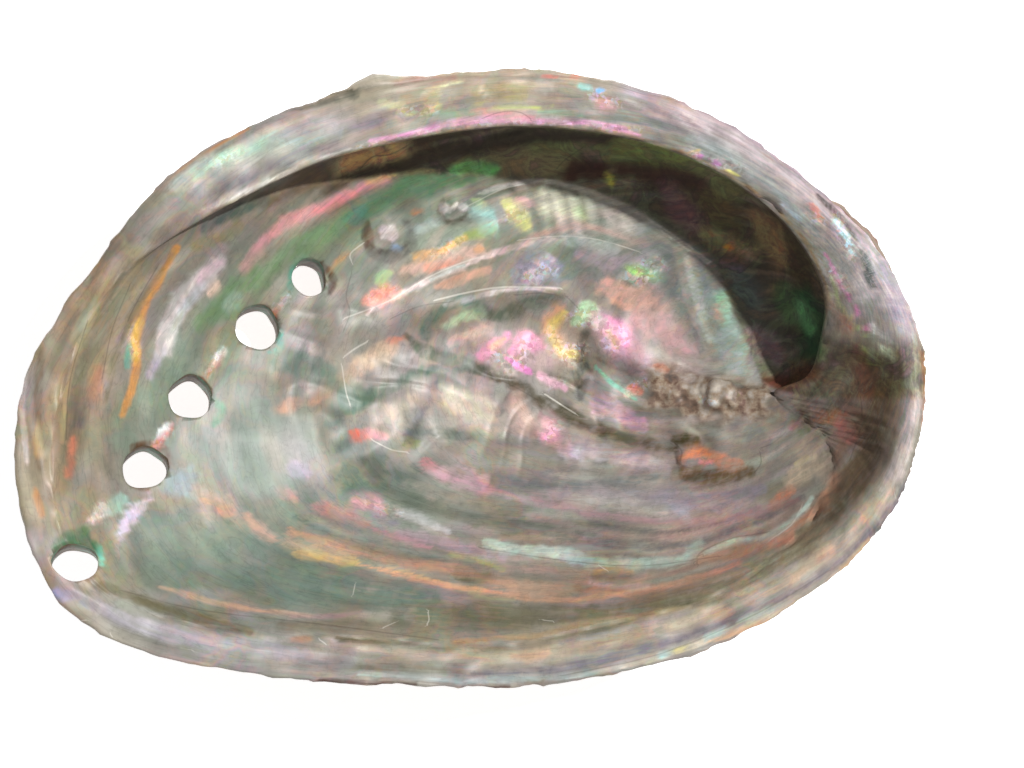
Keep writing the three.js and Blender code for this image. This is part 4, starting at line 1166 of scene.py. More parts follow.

# Painted glints: places where single facets of the nacre flash, brighter and in colours of their own:
# strength, half width in pixels and path.
BOWL_GLINTS = [
    (0.9, 9, [(496, 352), (514, 362), (530, 342)]),
    (0.9, 9, [(552, 336), (566, 352), (584, 348)]),
    (0.8, 8, [(600, 328), (622, 330)]),
    (0.8, 8, [(606, 345), (626, 340)]),
    (0.7, 9, [(572, 318), (596, 316)]),
    (0.8, 7, [(546, 436), (556, 428)]),
    (0.7, 7, [(628, 392), (644, 384)]),
    (0.7, 6, [(552, 386), (562, 380)]),
    (0.8, 9, [(627, 278), (660, 264)]),
    (0.7, 9, [(527, 275), (550, 268)]),
    (0.6, 7, [(504, 218), (522, 212)]),
    (0.6, 6, [(462, 240), (436, 254)]),
    (0.9, 5, [(704, 400), (716, 402)]),
    (0.9, 4, [(728, 396), (738, 393)]),
    (0.5, 7, [(372, 298), (392, 288)]),
    (0.5, 6, [(133, 330), (137, 356)]),
    (0.5, 5, [(150, 450), (172, 426)]),
    (0.5, 5, [(206, 374), (224, 348)]),
    (0.5, 5, [(272, 314), (288, 296)]),
    (0.5, 6, [(92, 520), (104, 506)]),
    (0.5, 6, [(368, 504), (396, 514)]),
]

# Painted glints on the shelf, as above.
SHELF_GLINTS = [
    (0.7, 6, [(592, 94), (618, 104)]),
    (0.7, 5, [(692, 155), (740, 168)]),
    (0.8, 6, [(834, 216), (854, 258)]),
    (0.7, 6, [(832, 272), (846, 290)]),
    (0.7, 5, [(862, 346), (880, 354)]),
    (0.7, 4, [(400, 110), (436, 110)]),
    (0.6, 4, [(360, 148), (500, 124), (640, 130)]),
    (0.5, 6, [(210, 166), (240, 152)]),
    (0.6, 5, [(808, 212), (824, 222)]),
]

# Thin pale scratches and growth threads, and pale lines on ridges that are painted highlights: half width
# and path, in pixels.
PALE_LINES_AND_HIGHLIGHTS = [
    (0.8, [(345, 356), (356, 348), (367, 342)]), (0.6, [(372, 440), (392, 450), (408, 452)]),
    (0.6, [(342, 366), (346, 392), (350, 404)]),
    (0.7, [(345, 318), (389, 301), (425, 279), (461, 263), (484, 256)]),
    (0.8, [(436, 300), (470, 292), (505, 287), (560, 288)]), (0.7, [(352, 262), (350, 254), (362, 244)]),
    (0.6, [(468, 206), (500, 190), (524, 184)]), (0.5, [(520, 240), (560, 236), (600, 240), (640, 252)]),
    (0.7, [(545, 394), (560, 404), (576, 414)]), (0.6, [(428, 612), (429, 620), (427, 624)]),
    (0.5, [(382, 628), (396, 622)]), (0.5, [(542, 620), (552, 621)]), (0.5, [(355, 585), (353, 594)]),
    (0.5, [(190, 650), (196, 652)]), (0.5, [(110, 634), (114, 637)]), (0.5, [(320, 640), (326, 644)]),
    (0.5, [(600, 566), (606, 570)]), (0.5, [(84, 620), (88, 621)]),
    (0.6, [(770, 540), (792, 524), (802, 506)]),
]
# Dark cracks, and dark lines in creases and folds that are partly painted shade, likewise.
DARK_LINES_AND_SHADE = [
    (0.7, [(361, 168), (372, 157), (388, 155), (400, 150), (413, 142)]),
    (0.7, [(557, 168), (566, 159), (582, 148)]),
    (0.6, [(483, 118), (497, 113), (511, 111), (522, 113), (531, 119)]),
    (0.7, [(697, 564), (698, 555), (710, 547), (733, 538), (751, 535), (768, 532)]),
    (0.6, [(352, 272), (346, 296), (350, 312), (344, 330)]), (0.6, [(761, 448), (773, 443), (785, 433)]),
    (0.6, [(760, 452), (761, 463), (755, 472)]), (0.8, [(676, 444), (682, 452), (680, 464), (690, 468)]),
    (0.6, [(516, 295), (540, 293), (556, 295)]), (0.7, [(566, 296), (572, 302), (578, 308)]),
    (0.6, [(392, 318), (420, 306), (450, 302)]), (0.6, [(668, 388), (690, 376), (706, 378)]),
    (0.6, [(484, 372), (515, 387), (538, 400)]), (0.6, [(88, 320), (70, 380), (66, 440)]),
    (0.6, [(130, 285), (112, 330), (102, 380)]), (0.6, [(160, 262), (138, 300), (128, 320)]),
    (0.6, [(120, 590), (200, 610), (320, 624), (440, 640)]),
    (0.6, [(480, 548), (560, 560), (640, 566), (720, 556)]),
    (0.6, [(560, 676), (660, 654), (760, 612), (830, 570)]), (0.6, [(858, 380), (862, 420), (850, 460)]),
]

SHELF_BASE = [
    ("#a29a92", 1.0, 60, [(200, 190), (350, 110), (520, 80), (700, 130), (830, 230), (900, 330)]),
    ("#b6aa92", 0.8, 18, [(330, 95), (420, 82), (520, 76), (600, 86)]),
    ("#a895a0", 0.8, 20, [(640, 100), (740, 135), (820, 190), (880, 270)]),
    # paler along the ridge at the spire end, partly painted highlight
    ("#d2cccc", 0.8, 22, [(866, 262), (886, 306), (904, 348)]),
    ("#8f9690", 0.8, 14, [(620, 125), (700, 148), (780, 195), (840, 270)]),
    ("#9aa79a", 0.8, 12, [(190, 200), (260, 160), (340, 128)]),
]

SHELF_STROKES = [
    # the head end of the shelf
    ("#b07c4c", 0.95, 2, [(158, 190), (190, 163), (222, 143), (248, 129)]),
    ("#c6c2ba", 0.85, 14, [(180, 195), (240, 160), (320, 130)]),
    ("#a4c8ba", 0.95, 8, [(161, 198), (199, 170), (240, 152), (286, 138), (318, 133)]),
    ("#b0ecd0", 0.85, 4, [(206, 168), (234, 154), (262, 146)]),
    ("#9aa2ac", 0.85, 7, [(280, 140), (320, 132), (340, 130)]),
    ("#6c646e", 0.95, 6.5, [(174, 203), (211, 192), (257, 172), (292, 158), (335, 143)]),
    ("#9fe0cc", 0.85, 4, [(160, 212), (168, 206)]),
    ("#c8d078", 0.8, 3, [(163, 219), (171, 215)]),
    # painted highlight along the free edge
    ("#e6e2da", 0.97, 3.4, [(150, 238), (190, 217), (234, 197), (280, 177), (315, 160), (350, 151)]),
    ("#a8b8b0", 0.85, 6, [(140, 240), (118, 256), (96, 284)]),
    ("#6a6a5c", 0.85, 4, [(280, 111), (315, 104), (356, 95)]),
    ("#4a4836", 0.85, 3, [(308, 99), (334, 92), (358, 90)]),
    ("#b8a8a8", 0.85, 8, [(294, 128), (320, 124), (349, 122)]),
    ("#968e96", 0.85, 4, [(352, 128), (372, 124), (392, 120)]),
    # the middle
    ("#a09888", 0.9, 6, [(362, 86), (378, 80), (392, 79)]),
    ("#b09080", 0.85, 4, [(395, 83), (425, 80), (455, 78)]),
    ("#a8a080", 0.95, 8, [(406, 98), (420, 96), (434, 94)]),
    ("#a8a078", 0.95, 10, [(480, 94), (500, 93), (520, 94)]),
    ("#c8c8a0", 0.85, 5, [(380, 102), (400, 106)]),
    ("#e8e8c0", 0.9, 2, [(423, 92), (438, 88), (450, 84), (462, 82)]),
    ("#e8e8d0", 0.9, 1.8, [(481, 88), (486, 96), (495, 97)]),
    ("#c4c0b0", 0.9, 8, [(541, 86), (546, 86)]),
    # painted glints, pale cyan and blue
    ("#98d8d0", 0.9, 3, [(578, 86), (590, 88)]),
    ("#60b0e8", 0.95, 2.6, [(596, 91), (603, 90)]),
    ("#e09080", 0.9, 2, [(541, 76), (557, 77)]),
    ("#d88070", 0.8, 3, [(570, 77), (580, 75)]),
    ("#d8a8a8", 0.9, 7, [(600, 103), (612, 108)]),
    ("#8f9f88", 0.9, 5, [(418, 111), (442, 113), (476, 113)]),
    ("#90a890", 0.9, 5, [(541, 113), (560, 114), (582, 115)]),
    ("#dcd48c", 0.85, 3, [(400, 112), (420, 112), (440, 106)]),
    ("#c8d080", 0.95, 1.6, [(472, 104), (499, 108), (536, 108), (552, 105)]),
    ("#d89898", 0.9, 4, [(476, 110), (500, 114), (534, 118)]),
    ("#d8a888", 0.9, 2.6, [(508, 116), (522, 115)]),
    # the bright free edge and its olive line; the pale pink line and its magenta spots are painted
    # highlights along the edge
    ("#e8b0d0", 0.97, 3, [(370, 141), (418, 132), (455, 123), (488, 120), (534, 121), (580, 122),
                          (615, 128), (640, 135)]),
    ("#e070c0", 0.95, 2.2, [(400, 137), (412, 134)]),
    ("#e070c0", 0.9, 2, [(428, 129), (436, 126)]),
    ("#9a9468", 0.9, 1.6, [(156, 240), (192, 222), (238, 201), (284, 181), (320, 164), (349, 152)]),
    ("#9a9870", 0.95, 1.6, [(298, 168), (349, 152), (409, 141), (455, 130), (488, 127), (534, 127),
                            (580, 129), (640, 138)]),
    # the spire end
    ("#8a6a48", 0.9, 2, [(664, 97), (692, 110)]),
    ("#b8a8a8", 0.85, 9, [(650, 104), (700, 120), (750, 152), (800, 196)]),
    ("#988a90", 0.85, 3.5, [(700, 140), (710, 143)]),
    ("#a8b4b0", 0.9, 6, [(690, 138), (723, 150), (757, 172), (784, 195), (808, 226)]),
    # painted magenta glints
    *alike("#e090d8", 0.95, 2.4, [(694, 154), (704, 157)], [(712, 161), (720, 164)]),
    ("#e4e080", 0.9, 1.8, [(728, 170), (738, 175)]),
    ("#dcd060", 0.85, 2, [(692, 152), (700, 151)]),
    ("#a08868", 0.95, 2, [(620, 134), (654, 143), (688, 155), (723, 172), (757, 194), (784, 217),
                          (805, 241), (818, 265), (827, 295), (825, 323), (822, 350)]),
    ("#b8c8d8", 0.9, 3, [(781, 203), (792, 213), (801, 223)]),
    ("#e09080", 0.9, 3, [(812, 205), (817, 213), (822, 222)]),
    ("#c0ecf4", 0.98, 3, [(836, 220), (846, 237), (853, 254)]),
    ("#4a4038", 0.95, 3, [(818, 196), (839, 217), (856, 241)]),
    ("#4f6058", 0.95, 6, [(862, 252), (868, 268), (874, 284)]),
    ("#a8a0ac", 0.9, 9, [(882, 268), (896, 300), (908, 336)]),
    ("#90889a", 0.85, 4, [(888, 296), (896, 314)]),
    ("#d890b8", 0.95, 2.2, [(825, 254), (839, 282), (856, 309), (866, 330)]),
    ("#b8c890", 0.95, 2.2, [(832, 275), (839, 302), (860, 330), (873, 343)]),
    ("#a08878", 0.9, 7, [(834, 306), (846, 326), (852, 346)]),
    ("#b06860", 0.9, 3, [(846, 318), (854, 336)]),
    # painted highlight on the ridge at the spire end
    ("#e6e6e2", 0.97, 5, [(872, 326), (880, 336), (888, 344)]),
    ("#c8d070", 0.85, 4, [(864, 346), (872, 356)]),
    ("#a9a2ac", 0.85, 9, [(904, 330), (916, 356)]),
]


def stroke_strength(across, down, half_width, path, ragged):
    """How strongly a soft stroke shows at each pixel place: 1 along its path, fading sideways."""
    curve = curve_through(path)
    low = curve.min(axis=0) - 3 * half_width
    high = curve.max(axis=0) + 3 * half_width
    near = (across > low[0]) & (across < high[0]) & (down > low[1]) & (down < high[1])
    strength = np.zeros(across.shape)
    if near.any():
        away, along = path_distance(across[near], down[near], curve)
        swelling = np.sin(np.pi * np.clip(along, 0.05, 0.95)) ** 0.5
        width = half_width * (STROKE_END_WIDTH + (1 - STROKE_END_WIDTH) * swelling)
        away = np.maximum(away + STROKE_RAGGEDNESS * half_width * ragged[near], 0)
        strength[near] = np.exp(-(away / (STROKE_SOFTNESS * width)) ** 3)
    return strength


class Paint:
    """The layers that the strokes go on: a soft base and accents that the material breaks up."""

    def __init__(self, points):
        self.across, self.down = photo_place(points)
        self.ragged = sum(swell(points[:, 0], points[:, 1], *row) for row in RAGGED_SWELLS)
        self.base = np.tile(linear(GROUND), (len(points), 1))
        self.accent = self.base.copy()
        self.accent_share = np.zeros(len(points))
        self.glint_share = np.zeros(len(points))
        self.shade_share = np.zeros(len(points))

    def strength(self, half_width, path):
        """How strongly one stroke shows at every vertex."""
        return stroke_strength(self.across, self.down, half_width, path, self.ragged)

    def ground(self, strokes, allowed):
        """Strokes that go straight into the base."""
        for hex_colour, opacity, half_width, path in strokes:
            share = opacity * allowed * self.strength(half_width, path)
            self.base += (linear(hex_colour) - self.base) * share[:, None]

    def accents(self, strokes, allowed):
        """Strokes that are kept apart, so that the material can break them up."""
        for hex_colour, opacity, half_width, path in strokes:
            share = opacity * allowed * self.strength(half_width, path)
            mostly = share / (share + self.accent_share + 1e-6)
            self.accent += (linear(hex_colour) - self.accent) * mostly[:, None]
            self.accent_share = np.maximum(self.accent_share, share)

    def shaded(self, strokes, allowed):
        """Strokes in the shade are painted lighter, so that they show their own colours there; the darkest
        stay dark, as painted shade.
        """
        edge = np.interp(self.across, *np.array(SHADE_EDGE).T)
        allowed = allowed * (1 - smooth_step(self.down - edge, *SHADE_FADE))
        allowed = allowed * smooth_step(self.across, *SHADE_START)
        self.shade_share = allowed
        for hex_colour, opacity, half_width, path in strokes:
            share = opacity * allowed * self.strength(half_width, path)
            colour = np.minimum(linear(hex_colour) / SHADE_LIGHT, LIGHTEST)
            self.base += (colour - self.base) * share[:, None]
            self.accent_share *= 1 - share

    def glints(self, strokes, allowed):
        """Places where the facets flash, as painted glints."""
        for opacity, half_width, path in strokes:
            share = opacity * allowed * self.strength(half_width, path)
            self.glint_share = np.maximum(self.glint_share, share)


def nearest_line(across, down, lines):
    """Signed distance to the nearest of some lines, in its half widths, and the plain distance in
    pixels. The signed one stays exact between vertices, so lines may be thinner than the mesh."""
    nearest = np.full(across.shape, FAR_AWAY)
    side = np.full(across.shape, FAR_AWAY)
    for half_width, path in lines:
        curve = curve_through(path, 3)
        for (ax, ay), (bx, by) in zip(curve, curve[1:]):
            dx, dy = bx - ax, by - ay
            f = np.clip(((across - ax) * dx + (down - ay) * dy) / (dx**2 + dy**2), 0, 1)
            distance = np.hypot(across - ax - f * dx, down - ay - f * dy)
            hand = np.sign((across - ax) * dy - (down - ay) * dx)
            closer = distance < nearest
            nearest = np.where(closer, distance, nearest)
            side = np.where(closer, hand * distance / half_width, side)
    return side, nearest


def noise_place(outwards, bearing, scale):
    """Where a noise is read, so that its streaks run round the spire with the growth lines."""
    along, around = scale
    return np.stack([outwards * along, around * np.cos(bearing), around * np.sin(bearing)], axis=1)


def shell_layers(points, places):
    """Everything that the material reads at each vertex, by name."""
    x, y = points[:, 0], points[:, 1]
    grown, reach = growth(x, y)
    hollow = np.interp(np.degrees(np.arctan2(y, x)), STATIONS[::-1, 0], STATIONS[::-1, 8], period=360)
    on_lip = smooth_step(places, *SHELF_FADE) * (places < LIP_END)
    hook_x, hook_start, hook_end = HOOK_SIDE
    beside_hook = np.where(x > hook_x, smooth_step(y, hook_start, hook_end), 1)
    shelf = on_lip * smooth_step(hollow, *HOLLOW_SHELF) * beside_hook
    bowl = 1 - shelf
    layers = Paint(points)
    layers.ground(BOWL_BASE, bowl)
    growth_streaks(layers.base, grown, x, y, bowl)
    layers.accents(BOWL_STROKES, bowl)
    layers.glints(BOWL_GLINTS, bowl)
    layers.shaded(CHAMBER_SHADE_STROKES, bowl)
    layers.ground(SHELF_BASE, shelf)
    growth_streaks(layers.base, grown, x, y, shelf)
    layers.accents(SHELF_STROKES, shelf)
    layers.glints(SHELF_GLINTS, shelf)
    pale_side, pale_distance = nearest_line(layers.across, layers.down, PALE_LINES_AND_HIGHLIGHTS)
    dark_side, dark_distance = nearest_line(layers.across, layers.down, DARK_LINES_AND_SHADE)
    crust = rough_patch(x, y, *CRUST_PATCH) * (places < INSIDE_END)
    bearing = np.arctan2(y - APEX[1], x - APEX[0])
    return {
        "painted_colour": layers.base,
        "accent_colour": layers.accent,
        "accent_share": layers.accent_share,
        "glint_share": layers.glint_share,
        "play_of_colour": np.clip((1 - crust) * (PLAY_STRENGTH + swell(x, y, *PLAY_SWELL)), 0, 1),
        "crust_share": crust,
        "shade_share": layers.shade_share,
        "pale_side": pale_side,
        "pale_distance": pale_distance,
        "dark_side": dark_side,
        "dark_distance": dark_distance,
        "growth_place": noise_place(grown * GROWTH_LENGTH, bearing, GROWTH_PLACE_SCALE),
        "fibre_place": noise_place(grown * reach, bearing, FIBRE_PLACE_SCALE),
    }


STREAK_TINTS = ["#c4b2a6", "#6c6e62", "#a8b0a2", "#b0a0a6", "#8a7f66"]


def growth_streaks(colours, grown, x, y, allowed):
    """Soft coloured bands that follow the growth halts."""
    first_pitch, further = STREAK_PITCHES
    for index, tint in enumerate(STREAK_TINTS):
        phase = swell(x, y, *STREAK_WANDER, 60 + index) + index * STREAK_PHASE_STEP
        band = ripple(grown * GROWTH_LENGTH, first_pitch + further * index, phase)
        patch = patchy(x, y, *STREAK_PATCHES, 70 + index)
        strength = STREAK_STRENGTH * smooth_step(band * patch, 0.2, 0.95) * allowed
        colours += (linear(tint) - colours) * strength[:, None]


def add_attribute(mesh, name, values):
    """Adds a point attribute: plain numbers, or colours and vectors by the layer's name."""
    kind, field = "FLOAT", "value"
    if values.ndim == 2:
        kind, field = "FLOAT_VECTOR", "vector"
        if name.endswith("colour"):
            kind, field = "FLOAT_COLOR", "color"
            values = np.concatenate([values, np.ones((len(values), 1))], axis=1)
    layer = mesh.attributes.new(name, kind, "POINT")
    layer.data.foreach_set(field, values.astype(np.float32).ravel())


# Materials

NOISE_INPUTS = ("Vector", "Scale", "Detail", "Roughness", "Distortion")


def new_material(name):
    material = bpy.data.materials.new(name)
    material.use_nodes = True
    material.node_tree.nodes.clear()
    return material


def add_node(tree, kind, inputs=(), output=0, stops=(), **settings):
    """Adds a node with its settings and links, and returns one of its outputs.

    An input is a value or an output to link from. Inputs are listed in order, or given by name or
    number. Stops are the positions and colours of a colour ramp.
    """
    node = tree.nodes.new("ShaderNode" + kind)
    for name, value in settings.items():
        setattr(node, name, value)
    for name, value in inputs.items() if isinstance(inputs, dict) else enumerate(inputs):
        socket = node.inputs[name]
        if isinstance(value, bpy.types.NodeSocket):
            tree.links.new(value, socket)
        else:
            socket.default_value = value
    if stops:
        elements = node.color_ramp.elements
        while len(elements) < len(stops):
            elements.new(0.5)
        for element, (position, hex_colour) in zip(elements, stops):
            element.position = position
            element.color = (*linear(hex_colour), 1)
    return node.outputs[output] if node.outputs else None


def weighted_sum(tree, *terms):
    """The sum of several values, each times its weight."""
    total = 0.0
    for value, weight in terms:
        total = add_node(tree, "Math", [value, weight, total], operation="MULTIPLY_ADD")
    return total


def product(tree, *values):
    result = values[0]
    for value in values[1:]:
        result = add_node(tree, "Math", [result, value], operation="MULTIPLY")
    return result


def finished(material, surface_inputs):
    """The material with its surface shader, set or linked as given."""
    surface = add_node(material.node_tree, "BsdfPrincipled", surface_inputs)
    add_node(material.node_tree, "OutputMaterial", [surface])
    return material


def nacre_noises(tree, place):
    """The unevenness of the layers, by name. Outwards from the spire, one unit of growth_place is
    2.4 mm and one of fibre_place 6 mm; the other scales are per metre, so 700 is 1.4 mm."""
    growth_place = add_node(tree, "Attribute", (), "Vector", attribute_name="growth_place")
    fibre_place = add_node(tree, "Attribute", (), "Vector", attribute_name="fibre_place")
    rows = {
        "bands": (growth_place, 1.0, 3.0, 0.55, 0.0),
        "halts": (growth_place, 3.4, 2.0, 0.5, 0.4),
        "fibres": (fibre_place, 1.0, 3.0, 0.5, 0.0),
        "ribs": (fibre_place, 2.6, 2.0, 0.5, 0.3),
        "silk": (place, 95.0, 5.0, 0.55, 1.2),
        "flecks": (place, 420.0, 3.0, 0.6, 0.8),
        "fine": (place, 700.0, 3.0, 0.6, 0.0),
    }
    return {name: add_node(tree, "TexNoise", dict(zip(NOISE_INPUTS, row)), "Fac")
            for name, row in rows.items()}


def broken_paint(tree, noises):
    """The painted base, with accents that break up into silky streaks with ragged edges."""
    share = add_node(tree, "Attribute", (), "Fac", attribute_name="accent_share")
    flecks = add_node(tree, "Math", [noises["flecks"], 0.5], operation="SUBTRACT")
    ragged = weighted_sum(tree, (share, 1.0), (flecks, 0.7))
    edge = add_node(tree, "MapRange", [ragged, 0.12, 0.66, 0.0, 0.95])
    breakup = weighted_sum(tree, (noises["halts"], 0.5), (noises["ribs"], 0.5))
    uneven = product(tree, edge, add_node(tree, "MapRange", [breakup, 0.38, 0.6, 0.6, 1.2]))
    shown = add_node(tree, "Math", [share, uneven], operation="MULTIPLY", use_clamp=True)
    base = add_node(tree, "Attribute", (), "Color", attribute_name="painted_colour")
    accent = add_node(tree, "Attribute", (), "Color", attribute_name="accent_colour")
    return add_node(tree, "Mix", {0: shown, 6: base, 7: accent}, 2, data_type="RGBA")


def play_of_colour(tree, noises, colour):
    """The hue runs round the pearly colours as the layers change in thickness."""
    thickness = weighted_sum(tree, (noises["bands"], 1.7), (noises["silk"], 3.4), (noises["halts"], 0.9))
    pearly = add_node(tree, "ValToRGB", [add_node(tree, "Math", [thickness], operation="FRACT")], stops=[
        (0.0, "#bd8f90"), (0.16, "#bd9e80"), (0.3, "#b2a882"), (0.45, "#90a58c"),
        (0.6, "#8aa09e"), (0.75, "#9690a4"), (0.88, "#b090a0"), (1.0, "#bd8f90"),
    ])
    play = add_node(tree, "Attribute", (), "Fac", attribute_name="play_of_colour")
    share = product(tree, add_node(tree, "MapRange", [noises["fine"], 0.38, 0.66, 0.25, 0.6]), play)
    return add_node(tree, "Mix", {0: share, 6: colour, 7: pearly}, 2, data_type="RGBA", blend_type="OVERLAY")


def facet_glints(tree, noises, place, glint_share, colour):
    """Small cells, 0.8 mm across, that each take a colour of their own and flash brighter where glints are
    painted.
    """
    wander = add_node(tree, "TexNoise", {"Vector": place, "Scale": 900.0, "Detail": 3.0}, "Color")
    bent = add_node(tree, "VectorMath", [wander, (0.0016, 0.0016, 0.0016), place], operation="MULTIPLY_ADD")
    cells = add_node(tree, "TexVoronoi", {"Vector": bent, "Scale": 1300.0, "Randomness": 1.0}, "Color")
    cell_value = add_node(tree, "SeparateColor", [cells])
    facets = add_node(tree, "ValToRGB", [cell_value], stops=[
        (0.0, "#e884b4"), (0.2, "#f0dc78"), (0.36, "#e8a0c8"), (0.5, "#9fe0b8"),
        (0.64, "#f4f0e8"), (0.78, "#f09a8c"), (0.9, "#98d4ec"), (1.0, "#d890dc"),
    ])
    share = product(tree, glint_share, add_node(tree, "MapRange", [noises["fine"], 0.42, 0.6, 0.05, 0.42]))
    colour = add_node(tree, "Mix", {0: share, 6: colour, 7: facets}, 2, data_type="RGBA")
    more = add_node(tree, "MapRange", [cell_value, 0.2, 0.9, -0.15, 0.5])
    flash = weighted_sum(tree, (1.0, 1.0), (glint_share, more))
    return add_node(tree, "Mix", {0: 1.0, 6: colour, 7: flash}, 2, data_type="RGBA", blend_type="MULTIPLY")


def growth_shade(tree, noises, colour):
    """Light and dark bands and fibres, thin creases along their contours, and a fine grain."""
    shades = [add_node(tree, "MapRange", [noises[name], *levels]) for name, levels in [
        ("bands", (0.3, 0.7, 0.8, 1.18)), ("fibres", (0.3, 0.7, 0.92, 1.08)),
        ("fine", (0.3, 0.7, 0.92, 1.07)), ("flecks", (0.3, 0.7, 0.93, 1.07)),
    ]]
    for name, width, darkest in (("halts", 0.03, 0.84), ("ribs", 0.02, 0.9)):
        off_contour = add_node(tree, "Math", [noises[name], 0.5], operation="SUBTRACT")
        away = add_node(tree, "Math", [off_contour], operation="ABSOLUTE")
        shades.append(add_node(tree, "MapRange", [away, 0.0, width, darkest, 1.0]))
    shade = product(tree, *shades)
    return add_node(tree, "Mix", {0: 1.0, 6: colour, 7: shade}, 2, data_type="RGBA", blend_type="MULTIPLY")


def thin_lines(tree, noises, colour):
    """Pale scratches and ridge lines, partly painted highlights, then dark cracks and creases, partly
    painted shade, from the distances to them, fading in places.
    """
    for name, strength, silk_levels, hex_colour in (
        ("pale", 0.36, (0.35, 0.55, 0.35, 1.0), "#efe9dc"),
        ("dark", 0.32, (0.3, 0.5, 0.45, 1.0), "#3a3028"),
    ):
        side = add_node(tree, "Attribute", (), "Fac", attribute_name=name + "_side")
        beside = add_node(tree, "Math", [side], operation="ABSOLUTE")
        distance = add_node(tree, "Attribute", (), "Fac", attribute_name=name + "_distance")
        share = product(
            tree,
            add_node(tree, "MapRange", [beside, 0.5, 1.6, strength, 0.0]),
            add_node(tree, "MapRange", [distance, 2.8, 4.2, 1.0, 0.0]),
            add_node(tree, "MapRange", [noises["silk"], *silk_levels]),
        )
        line = (*linear(hex_colour), 1)
        colour = add_node(tree, "Mix", {0: share, 6: colour, 7: line}, 2, data_type="RGBA")
    return colour


def shade_blotches(tree, place, colour):
    """Under the shelf the layers show blotches of their own, about 7 mm across, which also darken the shade
    there, as painted shade.
    """
    value = add_node(tree, "TexNoise", dict(zip(NOISE_INPUTS, (place, 150.0, 5.0, 0.62, 0.8))), "Fac")
    blotches = add_node(tree, "ValToRGB", [value], stops=[
        (0.3, "#b09c74"), (0.42, "#746c58"), (0.5, "#9ca888"), (0.58, "#66625a"), (0.68, "#a88c9c"),
    ])
    shaded = add_node(tree, "Attribute", (), "Fac", attribute_name="shade_share")
    inputs = {0: product(tree, shaded, 0.75), 6: colour, 7: blotches}
    return add_node(tree, "Mix", inputs, 2, data_type="RGBA", blend_type="OVERLAY")


def grown_crust(tree, place, glint_share, colour):
    """The crust that grew over part of the floor, with dirt in grains of about 3 mm."""
    value = add_node(tree, "TexNoise", dict(zip(NOISE_INPUTS, (place, 320.0, 5.0, 0.6, 0.0))), "Fac")
    crust_colour = add_node(tree, "ValToRGB", [value], stops=[
        (0.32, "#3a2a20"), (0.43, "#6a4c38"), (0.52, "#97826c"), (0.6, "#a89c90"), (0.7, "#c4b8a8"),
    ])
    crust = add_node(tree, "Attribute", (), "Fac", attribute_name="crust_share")
    cover = product(tree, crust, add_node(tree, "MapRange", [glint_share, 0.2, 0.8, 0.8, 0.35]))
    return add_node(tree, "Mix", {0: cover, 6: colour, 7: crust_colour}, 2, data_type="RGBA")


def nacre_material():
    """Mother-of-pearl: layers thinner than light waves, so a soft gloss and a play of pink,
    green, blue and gold, in silky patches along the growth lines and in small facets with painted glints."""
    material = new_material("mother_of_pearl")
    tree = material.node_tree
    place = add_node(tree, "TexCoord", (), "Object")
    noises = nacre_noises(tree, place)
    glint_share = add_node(tree, "Attribute", (), "Fac", attribute_name="glint_share")
    colour = broken_paint(tree, noises)
    colour = play_of_colour(tree, noises, colour)
    colour = facet_glints(tree, noises, place, glint_share, colour)
    colour = growth_shade(tree, noises, colour)
    colour = thin_lines(tree, noises, colour)
    colour = shade_blotches(tree, place, colour)
    colour = grown_crust(tree, place, glint_share, colour)
    relief = weighted_sum(tree, (noises["fine"], 0.15), (noises["fibres"], 0.2), (noises["bands"], 0.5))
    normal = add_node(tree, "Bump", {"Strength": 0.2, "Distance": 0.0006, "Height": relief})
    return finished(material, {
        "Base Color": colour, "Metallic": 0.05, "Roughness": 0.5, "Normal": normal,
        "Specular IOR Level": 0.35, "Coat Weight": 0.12, "Coat Roughness": 0.38, "Coat IOR": 1.5, "IOR": 1.5,
    })


def crust_material():
    """The dull outer layer, brick brown with grey-green bands 3 mm wide, chalky where worn."""
    material = new_material("outer_crust")
    tree = material.node_tree
    place = add_node(tree, "TexCoord", (), "Object")
    streak_place = add_node(tree, "Attribute", (), "Vector", attribute_name="growth_place")
    streaks = add_node(tree, "TexNoise", dict(zip(NOISE_INPUTS, (streak_place, 0.8, 6.0, 0.6, 0.0))), "Fac")
    patches = add_node(tree, "TexNoise", dict(zip(NOISE_INPUTS, (place, 60.0, 7.0, 0.65, 0.0))), "Fac")
    bands = add_node(tree, "ValToRGB", [streaks], stops=[
        (0.25, "#4a2c20"), (0.42, "#7a4a36"), (0.52, "#8d7460"), (0.62, "#6d7360"), (0.8, "#a89a86"),
    ])
    worn = add_node(tree, "ValToRGB", [patches], stops=[
        (0.4, "#54382a"), (0.55, "#8a7a66"), (0.7, "#c2b8a6"),
    ])
    mixed = add_node(tree, "Mix", {0: 0.45, 6: bands, 7: worn}, 2, data_type="RGBA")
    normal = add_node(tree, "Bump", {"Strength": 0.7, "Distance": 0.0008, "Height": patches})
    return finished(material, {"Base Color": mixed, "Roughness": 0.78, "Normal": normal})


def hole_wall_material():
    """The cut through the layers inside a breathing hole: brown shell matter with some green."""
    material = new_material("hole_wall_layers")
    tree = material.node_tree
    place = add_node(tree, "TexCoord", (), "Object")
    value = add_node(tree, "TexNoise", dict(zip(NOISE_INPUTS, (place, 260.0, 4.0, 0.6, 0.0))), "Fac")
    layers = add_node(tree, "ValToRGB", [value], stops=[
        (0.35, "#3a2a20"), (0.5, "#6b5a48"), (0.6, "#5d7a68"), (0.72, "#8f8a78"),
    ])
    return finished(material, {"Base Color": layers, "Roughness": 0.55})


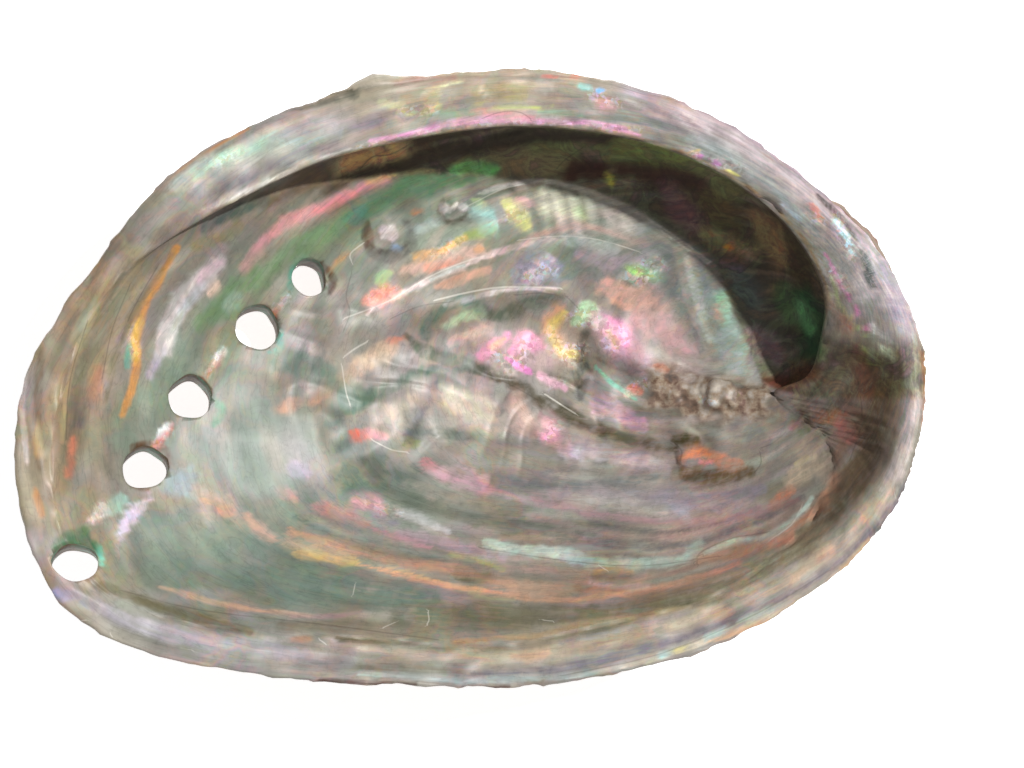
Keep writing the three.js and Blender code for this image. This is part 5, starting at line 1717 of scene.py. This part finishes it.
def floor_material():
    """Plain white paper, lit so that it reads as the photograph's blank ground."""
    white = (*linear("#ffffff"), 1)
    return finished(new_material("white_paper"), {
        "Base Color": white, "Roughness": 0.95, "Emission Color": white, "Emission Strength": FLOOR_GLOW,
    })


# The pieces


def face_materials(mesh, places):
    """Which material each face has: 0 nacre, 1 crust, 2 the wall of a hole."""
    starts = read_numbers(mesh.polygons, "loop_start", 1, np.int32)
    corners = read_numbers(mesh.loops, "vertex_index", 1, np.int32)
    kind = (places[corners[starts]] > CRUST_START).astype(np.int32)
    kind[hole_wall_faces(mesh)] = 2
    return kind


def build_shell():
    mesh, known_points, known_places = wall_mesh()
    wall = object_from(mesh, "shell_visual")
    mesh = cut_holes(wall, object_from(plug_mesh(), "hole_plugs"))
    points = read_numbers(mesh.vertices, "co", 3, np.float32).astype(float) / MM
    places = nearest_places(points, known_points, known_places)
    for name, values in shell_layers(points, places).items():
        add_attribute(mesh, name, values)
    mesh.materials.clear()
    for material in (nacre_material(), crust_material(), hole_wall_material()):
        mesh.materials.append(material)
    mesh.polygons.foreach_set("material_index", face_materials(mesh, places))
    mesh.polygons.foreach_set("use_smooth", np.ones(len(mesh.polygons), bool))
    mesh.update()
    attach(wall, "root")
    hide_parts("shell")


def build_floor():
    half = FLOOR_HALF_WIDTH
    corners = np.array([(-half, -half, 0), (half, -half, 0), (half, half, 0), (-half, half, 0)])
    mesh = mesh_from_arrays("floor", corners, [(0, 1, 2, 3)])
    mesh.materials.append(floor_material())
    floor = object_from(mesh, "floor")


def build_lights():
    world = bpy.data.worlds.new("studio")
    world.use_nodes = True
    background = world.node_tree.nodes["Background"]
    background.inputs["Color"].default_value = (*linear(SKY_COLOUR), 1)
    background.inputs["Strength"].default_value = SKY_STRENGTH
    bpy.context.scene.world = world
    key = bpy.data.lights.new("key", "SUN")
    key.energy = SUN_ENERGY
    key.angle = SUN_ANGLE
    lamp = bpy.data.objects.new("key", key)
    lamp.rotation_euler = Vector(SUN_DIRECTION).to_track_quat("Z", "Y").to_euler()
    bpy.context.scene.collection.objects.link(lamp)


def build_camera():
    camera = bpy.data.cameras.new("camera")
    camera.sensor_width = SENSOR_WIDTH
    camera.lens = SENSOR_WIDTH * CAMERA_HEIGHT / (PHOTO_WIDTH * PHOTO_MM_PER_PIXEL)
    camera.clip_end = CAMERA_FAR_END
    holder = bpy.data.objects.new("camera", camera)
    holder.location = (CAMERA_X * MM, CAMERA_Y * MM, (HEIGHT + CAMERA_HEIGHT) * MM)
    bpy.context.scene.collection.objects.link(holder)
    bpy.context.scene.camera = holder


def main():
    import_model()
    bpy.context.scene.view_settings.view_transform = "Standard"
    build_shell()
    build_floor()
    build_lights()
    build_camera()


main()
